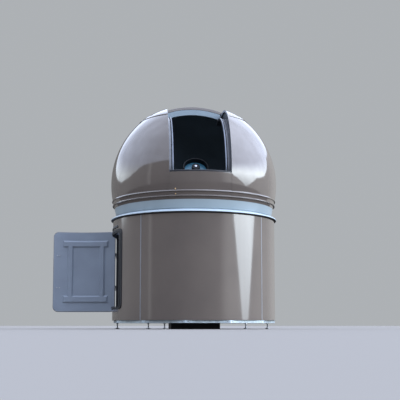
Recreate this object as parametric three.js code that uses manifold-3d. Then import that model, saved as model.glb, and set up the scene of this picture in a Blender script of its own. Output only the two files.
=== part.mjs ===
// Observatory dome of 2.1 m: a round wall on levelling feet, a turning dome with an
// up-and-over shutter that stands open, an open curved door, and the telescope on its pier.
// Millimetres, +Z up. The origin is on the ground under the dome's axis. The slit looks along -Y.
// An azimuth is an angle in degrees from -Y towards +X.

import * as THREE from 'three';
import { mergeVertices } from 'three/addons/utils/BufferGeometryUtils.js';
import Module from 'manifold-3d';

const wasm = await Module();
wasm.setup();

// Driving dimensions

const GAP = 0.3;
const FACET = 6;

const WALL_RADIUS = 1050;
const WALL_THICKNESS = 12;
const FRAME_BOTTOM = 74;
const FRAME_TOP = 107;
const WALL_TOP = 1375;
const WALL_FIRST_SEAM = -42.1;
const SEAM_WIDTH = 14;

const CENTRE_HEIGHT = 1867;
const DOME_RADIUS = 1080;
const SHELL_THICKNESS = 8;
const DOME_FOOT = 1542;
const CAP_RIM_HEIGHT = 2668;
const CAP_TOP = 2924;
const CAP_CURVE_RADIUS = 1205;

const SLIT_HALF_WIDTH = 376;
const SLIT_CLEAR_HALF_WIDTH = 317;
const SLIT_REAR = 150;
const SILL_BOTTOM = 1867;
const SILL_TOP = 1889;

const SHUTTER_RADIUS = 1104;
const SHUTTER_HALF_WIDTH = 397;
const SHUTTER_FRONT_ANGLE = -6;
const SHUTTER_LENGTH_ANGLE = 98;

const DOOR_AZIMUTH = -87.1;
const DOOR_OPEN_ANGLE = 97;
const DOOR_HINGE_AZIMUTH = DOOR_AZIMUTH - 24.4;
const DOOR_HINGE_RADIUS = 1085;
const DOOR_BOTTOM = 224;
const DOOR_TOP = 1299;

const PIVOT_HEIGHT = 1816;
const TELESCOPE_ALTITUDE = 37;

// Materials

const FINISHES = {
  gelcoat: { color: 0x766f70, roughness: 0.18, metalness: 0 },
  metal: { color: 0xaebccb, roughness: 0.35, metalness: 0.8 },
  ringPaint: { color: 0x7f93a6, roughness: 0.35, metalness: 0.2 },
  doorPaint: { color: 0x6c7686, roughness: 0.45, metalness: 0 },
  archPaint: { color: 0x93a2b6, roughness: 0.45, metalness: 0 },
  rubber: { color: 0x16181b, roughness: 0.7, metalness: 0 },
  steel: { color: 0x8d9196, roughness: 0.4, metalness: 0.9 },
  blackPaint: { color: 0x101214, roughness: 0.5, metalness: 0.1 },
  glass: { color: 0x4f879e, roughness: 0.05, metalness: 0 },
};

// Solids: closed meshes, joined and cut

function solidOf(geometry) {
  geometry.deleteAttribute('normal');
  geometry.deleteAttribute('uv');
  const merged = mergeVertices(geometry, 1e-3);
  const triVerts = new Uint32Array(merged.index.array);
  const vertProperties = merged.attributes.position.array;
  return new wasm.Manifold(new wasm.Mesh({ numProp: 3, vertProperties, triVerts }));
}

function geometryOf(solid) {
  const mesh = solid.getMesh();
  const geometry = new THREE.BufferGeometry();
  geometry.setAttribute('position', new THREE.BufferAttribute(mesh.vertProperties, 3));
  geometry.setIndex(new THREE.BufferAttribute(mesh.triVerts, 1));
  return geometry;
}

function join(first, ...others) {
  return others.reduce((sum, next) => sum.add(next), first);
}

function cut(first, ...others) {
  return others.reduce((rest, next) => rest.subtract(next), first);
}

function rad(degrees) {
  return THREE.MathUtils.degToRad(degrees);
}

function onCircle(radius, azimuth) {
  return [radius * Math.sin(rad(azimuth)), -radius * Math.cos(rad(azimuth))];
}

// Area of a profile of [radius, height] points, positive where it runs anticlockwise.
function area(profile) {
  return profile.reduce((sum, [r, z], index) => {
    const [nextR, nextZ] = profile[(index + 1) % profile.length];
    return sum + (r * nextZ - nextR * z) / 2;
  }, 0);
}

// A full ring about Z from a closed profile, with its corners at whole facets from startAzimuth.
function ringGeometry(profile, startAzimuth = 0, facet = FACET) {
  const ordered = area(profile) > 0 ? profile : [...profile].reverse();
  const points = [...ordered, ordered[0]].map(([r, z]) => new THREE.Vector2(r, z));
  const lathe = new THREE.LatheGeometry(points, Math.round(360 / facet), rad(startAzimuth));
  return lathe.rotateX(Math.PI / 2);
}

// A body turned about Z from a profile that starts and ends on the axis.
function turnedGeometry(profile, sides = 24) {
  const ordered = area(profile) > 0 ? profile : [...profile].reverse();
  const points = ordered.map(([r, z]) => new THREE.Vector2(r, z));
  return new THREE.LatheGeometry(points, sides).rotateX(Math.PI / 2);
}

// A pie slice about Z between two azimuths, which cuts a sector out of a ring.
function wedgeGeometry(from, to, bottom, top, radius = 1700) {
  const steps = Math.ceil((to - from) / 30);
  const shape = new THREE.Shape();
  shape.moveTo(0, 0);
  for (let index = 0; index <= steps; index += 1) {
    shape.lineTo(...onCircle(radius, from + ((to - from) * index) / steps));
  }
  return new THREE.ExtrudeGeometry(shape, { depth: top - bottom, bevelEnabled: false })
    .translate(0, 0, bottom);
}

function boxGeometry([x0, y0, z0], [x1, y1, z1]) {
  return new THREE.BoxGeometry(x1 - x0, y1 - y0, z1 - z0)
    .translate((x0 + x1) / 2, (y0 + y1) / 2, (z0 + z1) / 2);
}

const box = (low, high) => solidOf(boxGeometry(low, high));
const ring = (profile, start, facet) => solidOf(ringGeometry(profile, start, facet));

function sector(profile, from, to, start, facet) {
  const heights = profile.map(([, z]) => z);
  const slice = wedgeGeometry(from, to, Math.min(...heights) - 1, Math.max(...heights) + 1);
  return ring(profile, start, facet).intersect(solidOf(slice));
}

// The shutter axis runs along X through the dome's centre. On it an angle is taken
// from the zenith, positive to the front, and a profile holds [distance from the axis, x].
const TO_SHUTTER_AXIS = new THREE.Matrix4()
  .makeBasis(new THREE.Vector3(0, -1, 0), new THREE.Vector3(0, 0, -1), new THREE.Vector3(1, 0, 0))
  .setPosition(0, 0, CENTRE_HEIGHT);

function shutterSector(profile, from, to) {
  const widths = profile.map(([, x]) => x);
  const slice = wedgeGeometry(from, to, Math.min(...widths) - 1, Math.max(...widths) + 1);
  const full = ringGeometry(profile);
  return solidOf(full.applyMatrix4(TO_SHUTTER_AXIS))
    .intersect(solidOf(slice.applyMatrix4(TO_SHUTTER_AXIS)));
}

function rectangle(inner, outer, low, high) {
  return [[inner, low], [outer, low], [outer, high], [inner, high]];
}

// An outline with round corners, centred on x = 0, between two heights.
function roundedShape(halfWidth, bottom, top, corner) {
  const shape = new THREE.Shape();
  shape.moveTo(-halfWidth + corner, bottom);
  shape.lineTo(halfWidth - corner, bottom);
  shape.absarc(halfWidth - corner, bottom + corner, corner, -Math.PI / 2, 0, false);
  shape.lineTo(halfWidth, top - corner);
  shape.absarc(halfWidth - corner, top - corner, corner, 0, Math.PI / 2, false);
  shape.lineTo(-halfWidth + corner, top);
  shape.absarc(-halfWidth + corner, top - corner, corner, Math.PI / 2, Math.PI, false);
  shape.lineTo(-halfWidth, bottom + corner);
  shape.absarc(-halfWidth + corner, bottom + corner, corner, Math.PI, 1.5 * Math.PI, false);
  return shape;
}

// A prism that stands out from the axis along an azimuth, with an upright outline.
function radialPrism(shape, azimuth, from = 700, to = 1300) {
  return solidOf(
    new THREE.ExtrudeGeometry(shape, { depth: to - from, bevelEnabled: false, curveSegments: 3 })
      .translate(0, 0, from)
      .rotateX(Math.PI / 2)
      .rotateZ(rad(azimuth)),
  );
}

function materialOf(finish) {
  return new THREE.MeshStandardMaterial({ ...FINISHES[finish], flatShading: true });
}

function place(group, name, shape, finish) {
  const geometry = shape.isBufferGeometry ? shape : geometryOf(shape);
  const mesh = new THREE.Mesh(geometry, materialOf(finish));
  mesh.name = name;
  group.add(mesh);
  return mesh;
}

const observatory = new THREE.Group();

// Levelling feet under the middle of every second side of the base frame

const FOOT_FIRST_AZIMUTH = -25.1;
const FOOT_RADIUS = 985;
const FOOT_COUNT = 6;

function footGeometry() {
  const padRadius = 30;
  const padHeight = 8;
  const rodRadius = 8.5;
  const nutRadius = 15;
  const nutBottom = FRAME_BOTTOM - GAP - 13;
  return turnedGeometry([
    [0, 0],
    [padRadius, 0],
    [padRadius, padHeight],
    [rodRadius + 4, padHeight + 8],
    [rodRadius, padHeight + 8],
    [rodRadius, nutBottom],
    [nutRadius, nutBottom],
    [nutRadius, FRAME_BOTTOM - GAP],
    [0, FRAME_BOTTOM - GAP],
  ], 12);
}

for (let index = 0; index < FOOT_COUNT; index += 1) {
  const foot = place(observatory, `levelling_foot_${index + 1}`, footGeometry(), 'steel');
  const [x, y] = onCircle(FOOT_RADIUS, FOOT_FIRST_AZIMUTH + (index * 360) / FOOT_COUNT);
  foot.position.set(x, y, 0);
}

// Base frame: twelve flat bars in a ring, whose corners reach the wall's face

const BASE_CORNER_RADIUS = 1048;
const BASE_BAR_WIDTH = 80;
const BASE_FIRST_CORNER = -10.1;
const BASE_SIDES = 12;

place(observatory, 'base_frame', ring(
  rectangle(BASE_CORNER_RADIUS - BASE_BAR_WIDTH, BASE_CORNER_RADIUS, FRAME_BOTTOM, FRAME_TOP),
  BASE_FIRST_CORNER,
  360 / BASE_SIDES,
), 'metal');

// Wall: four curved panels with a foot flange, and the door panel in four pieces

const WALL_BOTTOM = FRAME_TOP + GAP;
const FOOT_FLANGE_RADIUS = 980;
const FOOT_FLANGE_HEIGHT = 10;
const SEAM_HALF_ANGLE = THREE.MathUtils.radToDeg(SEAM_WIDTH / 2 / WALL_RADIUS);
const GAP_ANGLE = THREE.MathUtils.radToDeg(GAP / WALL_RADIUS);

const WALL_PROFILE = [
  [FOOT_FLANGE_RADIUS, WALL_BOTTOM],
  [WALL_RADIUS, WALL_BOTTOM],
  [WALL_RADIUS, WALL_TOP],
  [WALL_RADIUS - WALL_THICKNESS, WALL_TOP],
  [WALL_RADIUS - WALL_THICKNESS, WALL_BOTTOM + FOOT_FLANGE_HEIGHT],
  [FOOT_FLANGE_RADIUS, WALL_BOTTOM + FOOT_FLANGE_HEIGHT],
];

function wallSector(from, to) {
  return sector(WALL_PROFILE, from, to, WALL_FIRST_SEAM);
}

const PANEL_NAMES = ['wall_panel_front', 'wall_panel_right', 'wall_panel_rear'];
PANEL_NAMES.forEach((name, index) => {
  const start = WALL_FIRST_SEAM + 90 * index;
  const edge = SEAM_HALF_ANGLE + GAP_ANGLE;
  place(observatory, name, wallSector(start + edge, start + 90 - edge), 'gelcoat');
});

for (let index = 0; index < 4; index += 1) {
  const azimuth = WALL_FIRST_SEAM + 90 * index;
  const proud = 1.5;
  const strip = rectangle(FOOT_FLANGE_RADIUS, WALL_RADIUS + proud, WALL_BOTTOM, WALL_TOP);
  const inner = rectangle(
    FOOT_FLANGE_RADIUS - 1,
    WALL_RADIUS - WALL_THICKNESS - 2,
    WALL_BOTTOM + FOOT_FLANGE_HEIGHT,
    WALL_TOP + 1,
  );
  const from = azimuth - SEAM_HALF_ANGLE;
  const to = azimuth + SEAM_HALF_ANGLE;
  place(observatory, `wall_seam_strip_${index + 1}`, cut(
    sector(strip, from, to, WALL_FIRST_SEAM),
    sector(inner, from - 1, to + 1, WALL_FIRST_SEAM),
  ), 'metal');
}

// Doorway: a rubber-faced frame in the door panel, a clear opening and a drip hood

const OPENING_HALF_WIDTH = 376;
const OPENING_BOTTOM = 270;
const OPENING_TOP = 1200;
const OPENING_CORNER = 35;
const DOOR_FRAME_HALF_WIDTH = 443;
const DOOR_FRAME_BOTTOM = 246;
const DOOR_FRAME_TOP = 1248;
const DOOR_FRAME_CORNER = 62;
const DOOR_FRAME_INNER_RADIUS = 1030;
const DOOR_FRAME_OUTER_RADIUS = 1060;

const doorPanel = wallSector(
  WALL_FIRST_SEAM - 90 + SEAM_HALF_ANGLE + GAP_ANGLE,
  WALL_FIRST_SEAM - SEAM_HALF_ANGLE - GAP_ANGLE,
);
const frameHole = radialPrism(
  roundedShape(
    DOOR_FRAME_HALF_WIDTH + GAP,
    DOOR_FRAME_BOTTOM - GAP,
    DOOR_FRAME_TOP + GAP,
    DOOR_FRAME_CORNER,
  ),
  DOOR_AZIMUTH,
);

// A block of the door panel, given across the door's direction and upwards.
function doorBlock(left, right, bottom, top) {
  const shape = new THREE.Shape();
  shape.moveTo(left, bottom);
  shape.lineTo(right, bottom);
  shape.lineTo(right, top);
  shape.lineTo(left, top);
  return radialPrism(shape, DOOR_AZIMUTH, 300, 1400);
}

const SIDE_EDGE = DOOR_FRAME_HALF_WIDTH + GAP;
const WAIST = (DOOR_FRAME_BOTTOM + DOOR_FRAME_TOP) / 2;
const DOOR_WALL_BLOCKS = [
  ['door_wall_far_side', -1200, -SIDE_EDGE, 0, 1500],
  ['door_wall_near_side', SIDE_EDGE, 1200, 0, 1500],
  ['door_wall_over', -SIDE_EDGE + GAP, SIDE_EDGE - GAP, WAIST, 1500],
  ['door_wall_under', -SIDE_EDGE + GAP, SIDE_EDGE - GAP, 0, WAIST],
];
DOOR_WALL_BLOCKS.forEach(([name, left, right, bottom, top]) => {
  const piece = cut(doorPanel.intersect(doorBlock(left, right, bottom, top)), frameHole);
  place(observatory, name, piece, 'gelcoat');
});

const doorFrameRing = sector(
  rectangle(DOOR_FRAME_INNER_RADIUS, DOOR_FRAME_OUTER_RADIUS, DOOR_FRAME_BOTTOM - 5, DOOR_FRAME_TOP + 5),
  DOOR_AZIMUTH - 30,
  DOOR_AZIMUTH + 30,
  WALL_FIRST_SEAM,
);
place(observatory, 'door_frame', cut(
  doorFrameRing.intersect(radialPrism(
    roundedShape(DOOR_FRAME_HALF_WIDTH, DOOR_FRAME_BOTTOM, DOOR_FRAME_TOP, DOOR_FRAME_CORNER),
    DOOR_AZIMUTH,
  )),
  radialPrism(
    roundedShape(OPENING_HALF_WIDTH, OPENING_BOTTOM, OPENING_TOP, OPENING_CORNER),
    DOOR_AZIMUTH,
  ),
), 'rubber');

const HOOD_HALF_ANGLE = 17.6;
const HOOD_BOTTOM = 1266;
const HOOD_TOP = 1300;
place(observatory, 'door_drip_hood', sector(
  [
    [WALL_RADIUS + GAP, HOOD_BOTTOM + 6],
    [WALL_RADIUS + 9, HOOD_BOTTOM],
    [WALL_RADIUS + 9, HOOD_BOTTOM + 12],
    [WALL_RADIUS + GAP, HOOD_TOP],
  ],
  DOOR_AZIMUTH - HOOD_HALF_ANGLE,
  DOOR_AZIMUTH + HOOD_HALF_ANGLE,
  WALL_FIRST_SEAM,
), 'rubber');

// Wall-top ring with its sloping rain lip

const WALL_RING_BOTTOM = WALL_TOP + GAP;
const WALL_RING_TOP = 1431;
const WALL_RING_INNER = 984;
const WALL_RING_CREST = 1008;
const RAIN_LIP_RADIUS = 1077;
const RAIN_LIP_BOTTOM = 1390;
const RAIN_LIP_TOP = 1402;
place(observatory, 'wall_top_ring', ring([
  [WALL_RING_INNER, WALL_RING_BOTTOM],
  [WALL_RADIUS + 2, WALL_RING_BOTTOM],
  [RAIN_LIP_RADIUS - 3, RAIN_LIP_BOTTOM],
  [RAIN_LIP_RADIUS, RAIN_LIP_BOTTOM + 4],
  [RAIN_LIP_RADIUS, RAIN_LIP_TOP],
  [RAIN_LIP_RADIUS - 12, RAIN_LIP_TOP + 10],
  [WALL_RING_CREST, WALL_RING_TOP],
  [WALL_RING_INNER, WALL_RING_TOP],
], WALL_FIRST_SEAM), 'metal');

// Turning ring that carries the dome on a bearing strip, which slides on the wall-top ring

const DOME_RING_BOTTOM = WALL_RING_TOP + 6;
const DOME_RING_INNER = 976;
const DOME_RING_OUTER_BELOW = 1008;
const DOME_RING_OUTER_ABOVE = 1031;
const BEARING_INNER = 988;
const BEARING_OUTER = 998;
place(observatory, 'dome_ring', ring([
  [DOME_RING_INNER, DOME_RING_BOTTOM],
  [BEARING_INNER, DOME_RING_BOTTOM],
  [BEARING_INNER, WALL_RING_TOP + GAP],
  [BEARING_OUTER, WALL_RING_TOP + GAP],
  [BEARING_OUTER, DOME_RING_BOTTOM],
  [DOME_RING_OUTER_BELOW, DOME_RING_BOTTOM],
  [DOME_RING_OUTER_ABOVE, DOME_FOOT - GAP],
  [DOME_RING_INNER, DOME_FOOT - GAP],
]), 'ringPaint');

// Dome shell with two moulded ridges, in four quarters and an apron under the slit

function sphereRadiusAt(height, radius = DOME_RADIUS) {
  return Math.sqrt(radius ** 2 - (height - CENTRE_HEIGHT) ** 2);
}

function ridge(height, reach) {
  return [
    [sphereRadiusAt(height - 7), height - 7],
    [reach - 1, height - 6],
    [reach, height],
    [sphereRadiusAt(height + 15), height + 15],
  ];
}

const SHELL_STEPS = 9;
const RIDGES = [[1582, 1060], [1640, 1067]];
const SMOOTH_SHELL_FOOT = 1655;
const EDGE_FLANGE_DEPTH = 24;
const EDGE_FLANGE_WIDTH = 7;

function shellProfile(thickness = SHELL_THICKNESS) {
  const inner = DOME_RADIUS - thickness;
  const outerStart = Math.asin((SMOOTH_SHELL_FOOT - CENTRE_HEIGHT) / DOME_RADIUS);
  const outerEnd = Math.asin((CAP_RIM_HEIGHT - CENTRE_HEIGHT) / DOME_RADIUS);
  const innerStart = Math.asin((DOME_FOOT - CENTRE_HEIGHT) / inner);
  const innerEnd = Math.asin((CAP_RIM_HEIGHT - CENTRE_HEIGHT) / inner);
  const arc = (radius, from, to) => Array.from({ length: SHELL_STEPS + 1 }, (_, index) => {
    const angle = from + ((to - from) * index) / SHELL_STEPS;
    return [radius * Math.cos(angle), CENTRE_HEIGHT + radius * Math.sin(angle)];
  });
  return [
    [sphereRadiusAt(DOME_FOOT), DOME_FOOT],
    ...RIDGES.flatMap(([height, reach]) => ridge(height, reach)),
    ...arc(DOME_RADIUS, outerStart, outerEnd).slice(1),
    ...arc(inner, innerStart, innerEnd).reverse(),
  ];
}

const slitSpace = box([-SLIT_HALF_WIDTH, -1500, SILL_BOTTOM], [SLIT_HALF_WIDTH, SLIT_REAR, 3200]);
const apronSpace = box([-SLIT_HALF_WIDTH, -1500, 1400], [SLIT_HALF_WIDTH, 0, SILL_BOTTOM + 1]);
const apronBlock = box(
  [-SLIT_HALF_WIDTH + GAP, -1500, 1400],
  [SLIT_HALF_WIDTH - GAP, 0, SILL_BOTTOM - GAP],
);
const shellRing = ring(shellProfile());

// Where the slit cuts a shell, a flange runs along the cut's edge on the inside.
const flangeSpace = join(...[-1, 1].map((side) => {
  const [near, far] = [side * SLIT_HALF_WIDTH, side * (SLIT_HALF_WIDTH + EDGE_FLANGE_WIDTH)];
  return box([Math.min(near, far), -1500, SILL_BOTTOM], [Math.max(near, far), SLIT_REAR, 3200]);
}));
const shellFlanges = ring(shellProfile(EDGE_FLANGE_DEPTH)).intersect(flangeSpace);

const QUARTERS = [
  ['dome_shell_front_right', 0],
  ['dome_shell_rear_right', 90],
  ['dome_shell_rear_left', 180],
  ['dome_shell_front_left', 270],
];
const SHELL_GAP_ANGLE = THREE.MathUtils.radToDeg(GAP / 2 / 500);
QUARTERS.forEach(([name, from]) => {
  const slice = solidOf(wedgeGeometry(
    from + SHELL_GAP_ANGLE,
    from + 90 - SHELL_GAP_ANGLE,
    DOME_FOOT - 1,
    CAP_RIM_HEIGHT + 1,
  ));
  const quarter = cut(shellRing.intersect(slice), slitSpace, apronSpace);
  place(observatory, name, join(quarter, shellFlanges.intersect(slice)), 'gelcoat');
});
place(observatory, 'dome_apron', shellRing.intersect(apronBlock), 'gelcoat');

// Flatter cap over the top, with a stepped rim, cut by the slit

const CAP_STEPS = 6;
const CAP_EDGE_RADIUS = 686;

function capProfile(thickness = SHELL_THICKNESS) {
  const rimOuter = sphereRadiusAt(CAP_RIM_HEIGHT) + 3;
  const rimInner = sphereRadiusAt(CAP_RIM_HEIGHT, DOME_RADIUS - SHELL_THICKNESS) + 1;
  const centre = CAP_TOP - CAP_CURVE_RADIUS;
  const crown = (radius, from) => Array.from({ length: CAP_STEPS + 1 }, (_, index) => {
    const distance = from * (1 - index / CAP_STEPS);
    return [distance, centre + Math.sqrt(radius ** 2 - distance ** 2)];
  });
  return [
    ...crown(CAP_CURVE_RADIUS - thickness, CAP_EDGE_RADIUS - 4).reverse(),
    [rimInner, CAP_RIM_HEIGHT + GAP],
    [rimOuter, CAP_RIM_HEIGHT + GAP],
    [rimOuter, CAP_RIM_HEIGHT + 9],
    ...crown(CAP_CURVE_RADIUS, CAP_EDGE_RADIUS),
  ];
}

const capSolid = (thickness) => solidOf(turnedGeometry(capProfile(thickness), 360 / FACET));
const capFlanges = capSolid(EDGE_FLANGE_DEPTH).intersect(flangeSpace);
const cap = join(cut(capSolid(), slitSpace), capFlanges);
place(observatory, 'dome_cap_left', cap.intersect(
  box([-900, -900, 2600], [-GAP / 2, 900, 3000]),
), 'gelcoat');
place(observatory, 'dome_cap_right', cap.intersect(
  box([GAP / 2, -900, 2600], [900, 900, 3000]),
), 'gelcoat');

// Slit: sill, channels with their flanges, rails, wide trims and the rim at the rear end

const SILL_DEPTH = 190;
const SILL_HALF_WIDTH = 370;
const SILL_ANGLE = 90 + THREE.MathUtils.radToDeg(Math.asin((CENTRE_HEIGHT - SILL_TOP) / 1000)) - 0.1;
const CAP_EDGE_ANGLE = 43;

const sillRing = ring(rectangle(
  sphereRadiusAt(SILL_BOTTOM) - SILL_DEPTH,
  sphereRadiusAt(SILL_BOTTOM),
  SILL_BOTTOM,
  SILL_TOP - GAP,
));
place(observatory, 'slit_sill', sillRing.intersect(box(
  [-SILL_HALF_WIDTH, -1500, SILL_BOTTOM - 1],
  [SILL_HALF_WIDTH, 0, SILL_TOP + 1],
)), 'rubber');

const FLOOR_INNER = 864;
const FLOOR_OUTER = 872;
const CHANNEL_SIDE_NEAR = 395;
const CHANNEL_SIDE_FAR = 403;
const CHANNEL_SIDE_OUTER = 990;
const CHANNEL_SIDE_OUTER_UNDER_CAP = 974;
const RAIL_OUTER = 896;
const RAIL_WIDTH = 16;
const TRIM_OUTER = 888;
const TRIM_NEAR = 343;
const TRIM_FAR = 394;

const rearStop = box([-500, -1500, 1400], [500, SLIT_REAR - 12 - GAP, 3200]);
const aboveSill = box([-500, -1500, SILL_TOP], [500, 1500, 3200]);

// A strip of one side of the slit: distances from the shutter axis, then x from the slit's middle.
function slitStrip(side, inner, outer, near, far, from, to) {
  const [low, high] = side > 0 ? [near, far] : [-far, -near];
  return shutterSector(rectangle(inner, outer, low, high), from, to)
    .intersect(rearStop)
    .intersect(aboveSill);
}

[['left', -1], ['right', 1]].forEach(([name, side]) => {
  const strip = (inner, outer, near, far, from = -12, to = SILL_ANGLE + 6) => (
    slitStrip(side, inner, outer, near, far, from, to)
  );
  place(observatory, `slit_channel_${name}`, join(
    strip(FLOOR_INNER, FLOOR_OUTER, SLIT_CLEAR_HALF_WIDTH, CHANNEL_SIDE_FAR),
    strip(FLOOR_INNER, CHANNEL_SIDE_OUTER, CHANNEL_SIDE_NEAR, CHANNEL_SIDE_FAR, CAP_EDGE_ANGLE),
    strip(
      FLOOR_INNER,
      CHANNEL_SIDE_OUTER_UNDER_CAP,
      CHANNEL_SIDE_NEAR,
      CHANNEL_SIDE_FAR,
      -12,
      CAP_EDGE_ANGLE + 0.1,
    ),
  ), 'metal');
  place(observatory, `slit_rail_${name}`, strip(
    FLOOR_OUTER + GAP,
    RAIL_OUTER,
    SLIT_CLEAR_HALF_WIDTH,
    SLIT_CLEAR_HALF_WIDTH + RAIL_WIDTH,
  ), 'metal');
  place(observatory, `slit_trim_${name}`, strip(
    FLOOR_OUTER + GAP,
    TRIM_OUTER,
    TRIM_NEAR,
    TRIM_FAR,
  ), 'gelcoat');
});

// The rear rim closes the slit's end and follows the cap's curve.
function rearRim() {
  const depth = 55;
  const centre = CAP_TOP - CAP_CURVE_RADIUS;
  const bow = new THREE.Shape();
  const reach = SLIT_HALF_WIDTH - GAP;
  const middle = SLIT_REAR - 6;
  const heightAt = (x, drop) => {
    const flat = Math.sqrt(x * x + middle * middle);
    return centre + Math.sqrt(CAP_CURVE_RADIUS ** 2 - flat ** 2) - drop;
  };
  const steps = 10;
  for (let index = 0; index <= steps; index += 1) {
    const x = -reach + (2 * reach * index) / steps;
    const y = heightAt(x, 2);
    if (index === 0) bow.moveTo(x, y);
    else bow.lineTo(x, y);
  }
  for (let index = steps; index >= 0; index -= 1) {
    const x = -reach + (2 * reach * index) / steps;
    bow.lineTo(x, heightAt(x, depth));
  }
  return new THREE.ExtrudeGeometry(bow, { depth: 12 - GAP, bevelEnabled: false })
    .rotateX(Math.PI / 2)
    .translate(0, SLIT_REAR - GAP, 0);
}
place(observatory, 'slit_rear_rim', solidOf(rearRim()), 'metal');

// Shutter: a curved shell with short side skirts, and the front arch plate

const SHUTTER_THICKNESS = 6;
const SHUTTER_STEPS = 6;
const SKIRT_INNER = 1020;
const ARCH_THICKNESS_ANGLE = 0.6;
const ARCH_INNER_RADIUS = 991;
const ARCH_DEEP_HALF_WIDTH = 366;
const RUNNER_CLEARANCE = 0.8;
const RUNNER_INNER = RAIL_OUTER + RUNNER_CLEARANCE;
const RUNNER_NEAR = SLIT_CLEAR_HALF_WIDTH + 1;
const RUNNER_FAR = RUNNER_NEAR + RAIL_WIDTH - 2;

function acrossShutter(radius, halfWidth) {
  return Array.from({ length: SHUTTER_STEPS + 1 }, (_, index) => {
    const x = -halfWidth + (2 * halfWidth * index) / SHUTTER_STEPS;
    return [Math.sqrt(radius ** 2 - x ** 2), x];
  });
}

function shutterProfile() {
  const innerHalf = SHUTTER_HALF_WIDTH - SHUTTER_THICKNESS;
  return [
    [SKIRT_INNER, -SHUTTER_HALF_WIDTH],
    ...acrossShutter(SHUTTER_RADIUS, SHUTTER_HALF_WIDTH),
    [SKIRT_INNER, SHUTTER_HALF_WIDTH],
    [SKIRT_INNER, innerHalf],
    ...acrossShutter(SHUTTER_RADIUS - SHUTTER_THICKNESS, innerHalf).reverse(),
    [SKIRT_INNER, -innerHalf],
  ];
}

const SHUTTER_REAR_ANGLE = SHUTTER_FRONT_ANGLE - SHUTTER_LENGTH_ANGLE;
const SHUTTER_GAP_ANGLE = THREE.MathUtils.radToDeg(GAP / SHUTTER_RADIUS);
place(observatory, 'shutter_shell', shutterSector(
  shutterProfile(),
  SHUTTER_REAR_ANGLE,
  SHUTTER_FRONT_ANGLE - ARCH_THICKNESS_ANGLE - SHUTTER_GAP_ANGLE,
), 'gelcoat');

// The arch plate is as wide as the shutter above the slit's edges and narrower between them,
// where two runners reach down to the slit's rails.
const archEdge = (x) => [Math.sqrt(ARCH_INNER_RADIUS ** 2 - x ** 2), x];
const archProfile = [
  [SKIRT_INNER, -SHUTTER_HALF_WIDTH],
  ...acrossShutter(SHUTTER_RADIUS, SHUTTER_HALF_WIDTH),
  [SKIRT_INNER, SHUTTER_HALF_WIDTH],
  [SKIRT_INNER, ARCH_DEEP_HALF_WIDTH],
  archEdge(ARCH_DEEP_HALF_WIDTH),
  archEdge(RUNNER_FAR),
  [RUNNER_INNER, RUNNER_FAR],
  [RUNNER_INNER, RUNNER_NEAR],
  ...acrossShutter(ARCH_INNER_RADIUS, RUNNER_NEAR).reverse(),
  [RUNNER_INNER, -RUNNER_NEAR],
  [RUNNER_INNER, -RUNNER_FAR],
  archEdge(-RUNNER_FAR),
  archEdge(-ARCH_DEEP_HALF_WIDTH),
  [SKIRT_INNER, -ARCH_DEEP_HALF_WIDTH],
];
place(observatory, 'shutter_front_arch', shutterSector(
  archProfile,
  SHUTTER_FRONT_ANGLE - ARCH_THICKNESS_ANGLE,
  SHUTTER_FRONT_ANGLE,
), 'archPaint');

// Door leaf on two hinges: built closed about the hinge axis, then swung open

const [hingeX, hingeY] = onCircle(DOOR_HINGE_RADIUS, DOOR_HINGE_AZIMUTH);
const door = new THREE.Group();
door.position.set(hingeX, hingeY, 0);
door.rotation.z = rad(-DOOR_OPEN_ANGLE);
observatory.add(door);

const LEAF_INNER_RADIUS = 1066;
const LEAF_OUTER_RADIUS = 1094;
const LEAF_START_AZIMUTH = DOOR_AZIMUTH - 24.1;
const LEAF_END_AZIMUTH = DOOR_AZIMUTH + 21.8;
const LEAF_MIDDLE_AZIMUTH = (LEAF_START_AZIMUTH + LEAF_END_AZIMUTH) / 2;
const LEAF_CORNER = 68;

function placeOnDoor(name, shape, finish) {
  return place(door, name, geometryOf(shape).translate(-hingeX, -hingeY, 0), finish);
}

const leafHalfWidth = LEAF_INNER_RADIUS * Math.sin(rad((LEAF_END_AZIMUTH - LEAF_START_AZIMUTH) / 2));
placeOnDoor('door_leaf', sector(
  rectangle(LEAF_INNER_RADIUS, LEAF_OUTER_RADIUS, DOOR_BOTTOM - 1, DOOR_TOP + 1),
  LEAF_MIDDLE_AZIMUTH - 30,
  LEAF_MIDDLE_AZIMUTH + 30,
  LEAF_MIDDLE_AZIMUTH,
).intersect(radialPrism(
  roundedShape(leafHalfWidth, DOOR_BOTTOM, DOOR_TOP, LEAF_CORNER),
  LEAF_MIDDLE_AZIMUTH,
)), 'doorPaint');

const RIB_HEIGHT = 18;
const RIB_OUTER = LEAF_INNER_RADIUS - GAP;
const RIB_INNER = RIB_OUTER - RIB_HEIGHT;
const RIB_START = LEAF_START_AZIMUTH + 5.4;
const RIB_END = LEAF_END_AZIMUTH - 7;
const RIB_BARS = [
  ['door_rib_top', RIB_START, RIB_END, 1098, 1180],
  ['door_rib_bottom', RIB_START, RIB_END, 344, 439],
  ['door_rib_hinge_side', RIB_START + 2.6, RIB_START + 7, 439 + GAP, 1098 - GAP],
  ['door_rib_free_side', RIB_END - 7.6, RIB_END - 3.1, 439 + GAP, 1098 - GAP],
];
RIB_BARS.forEach(([name, from, to, bottom, top]) => {
  const bar = rectangle(RIB_INNER, RIB_OUTER, bottom, top);
  placeOnDoor(name, sector(bar, from, to, LEAF_MIDDLE_AZIMUTH), 'doorPaint');
});

// Hinges: a knuckle on the frame carries a knuckle on the leaf

const HINGE_HEIGHTS = [['lower', 505], ['upper', 940]];
const KNUCKLE_RADIUS = 9;
const KNUCKLE_HEIGHT = 34;
const KNUCKLE_GAP = 0.4;

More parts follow.
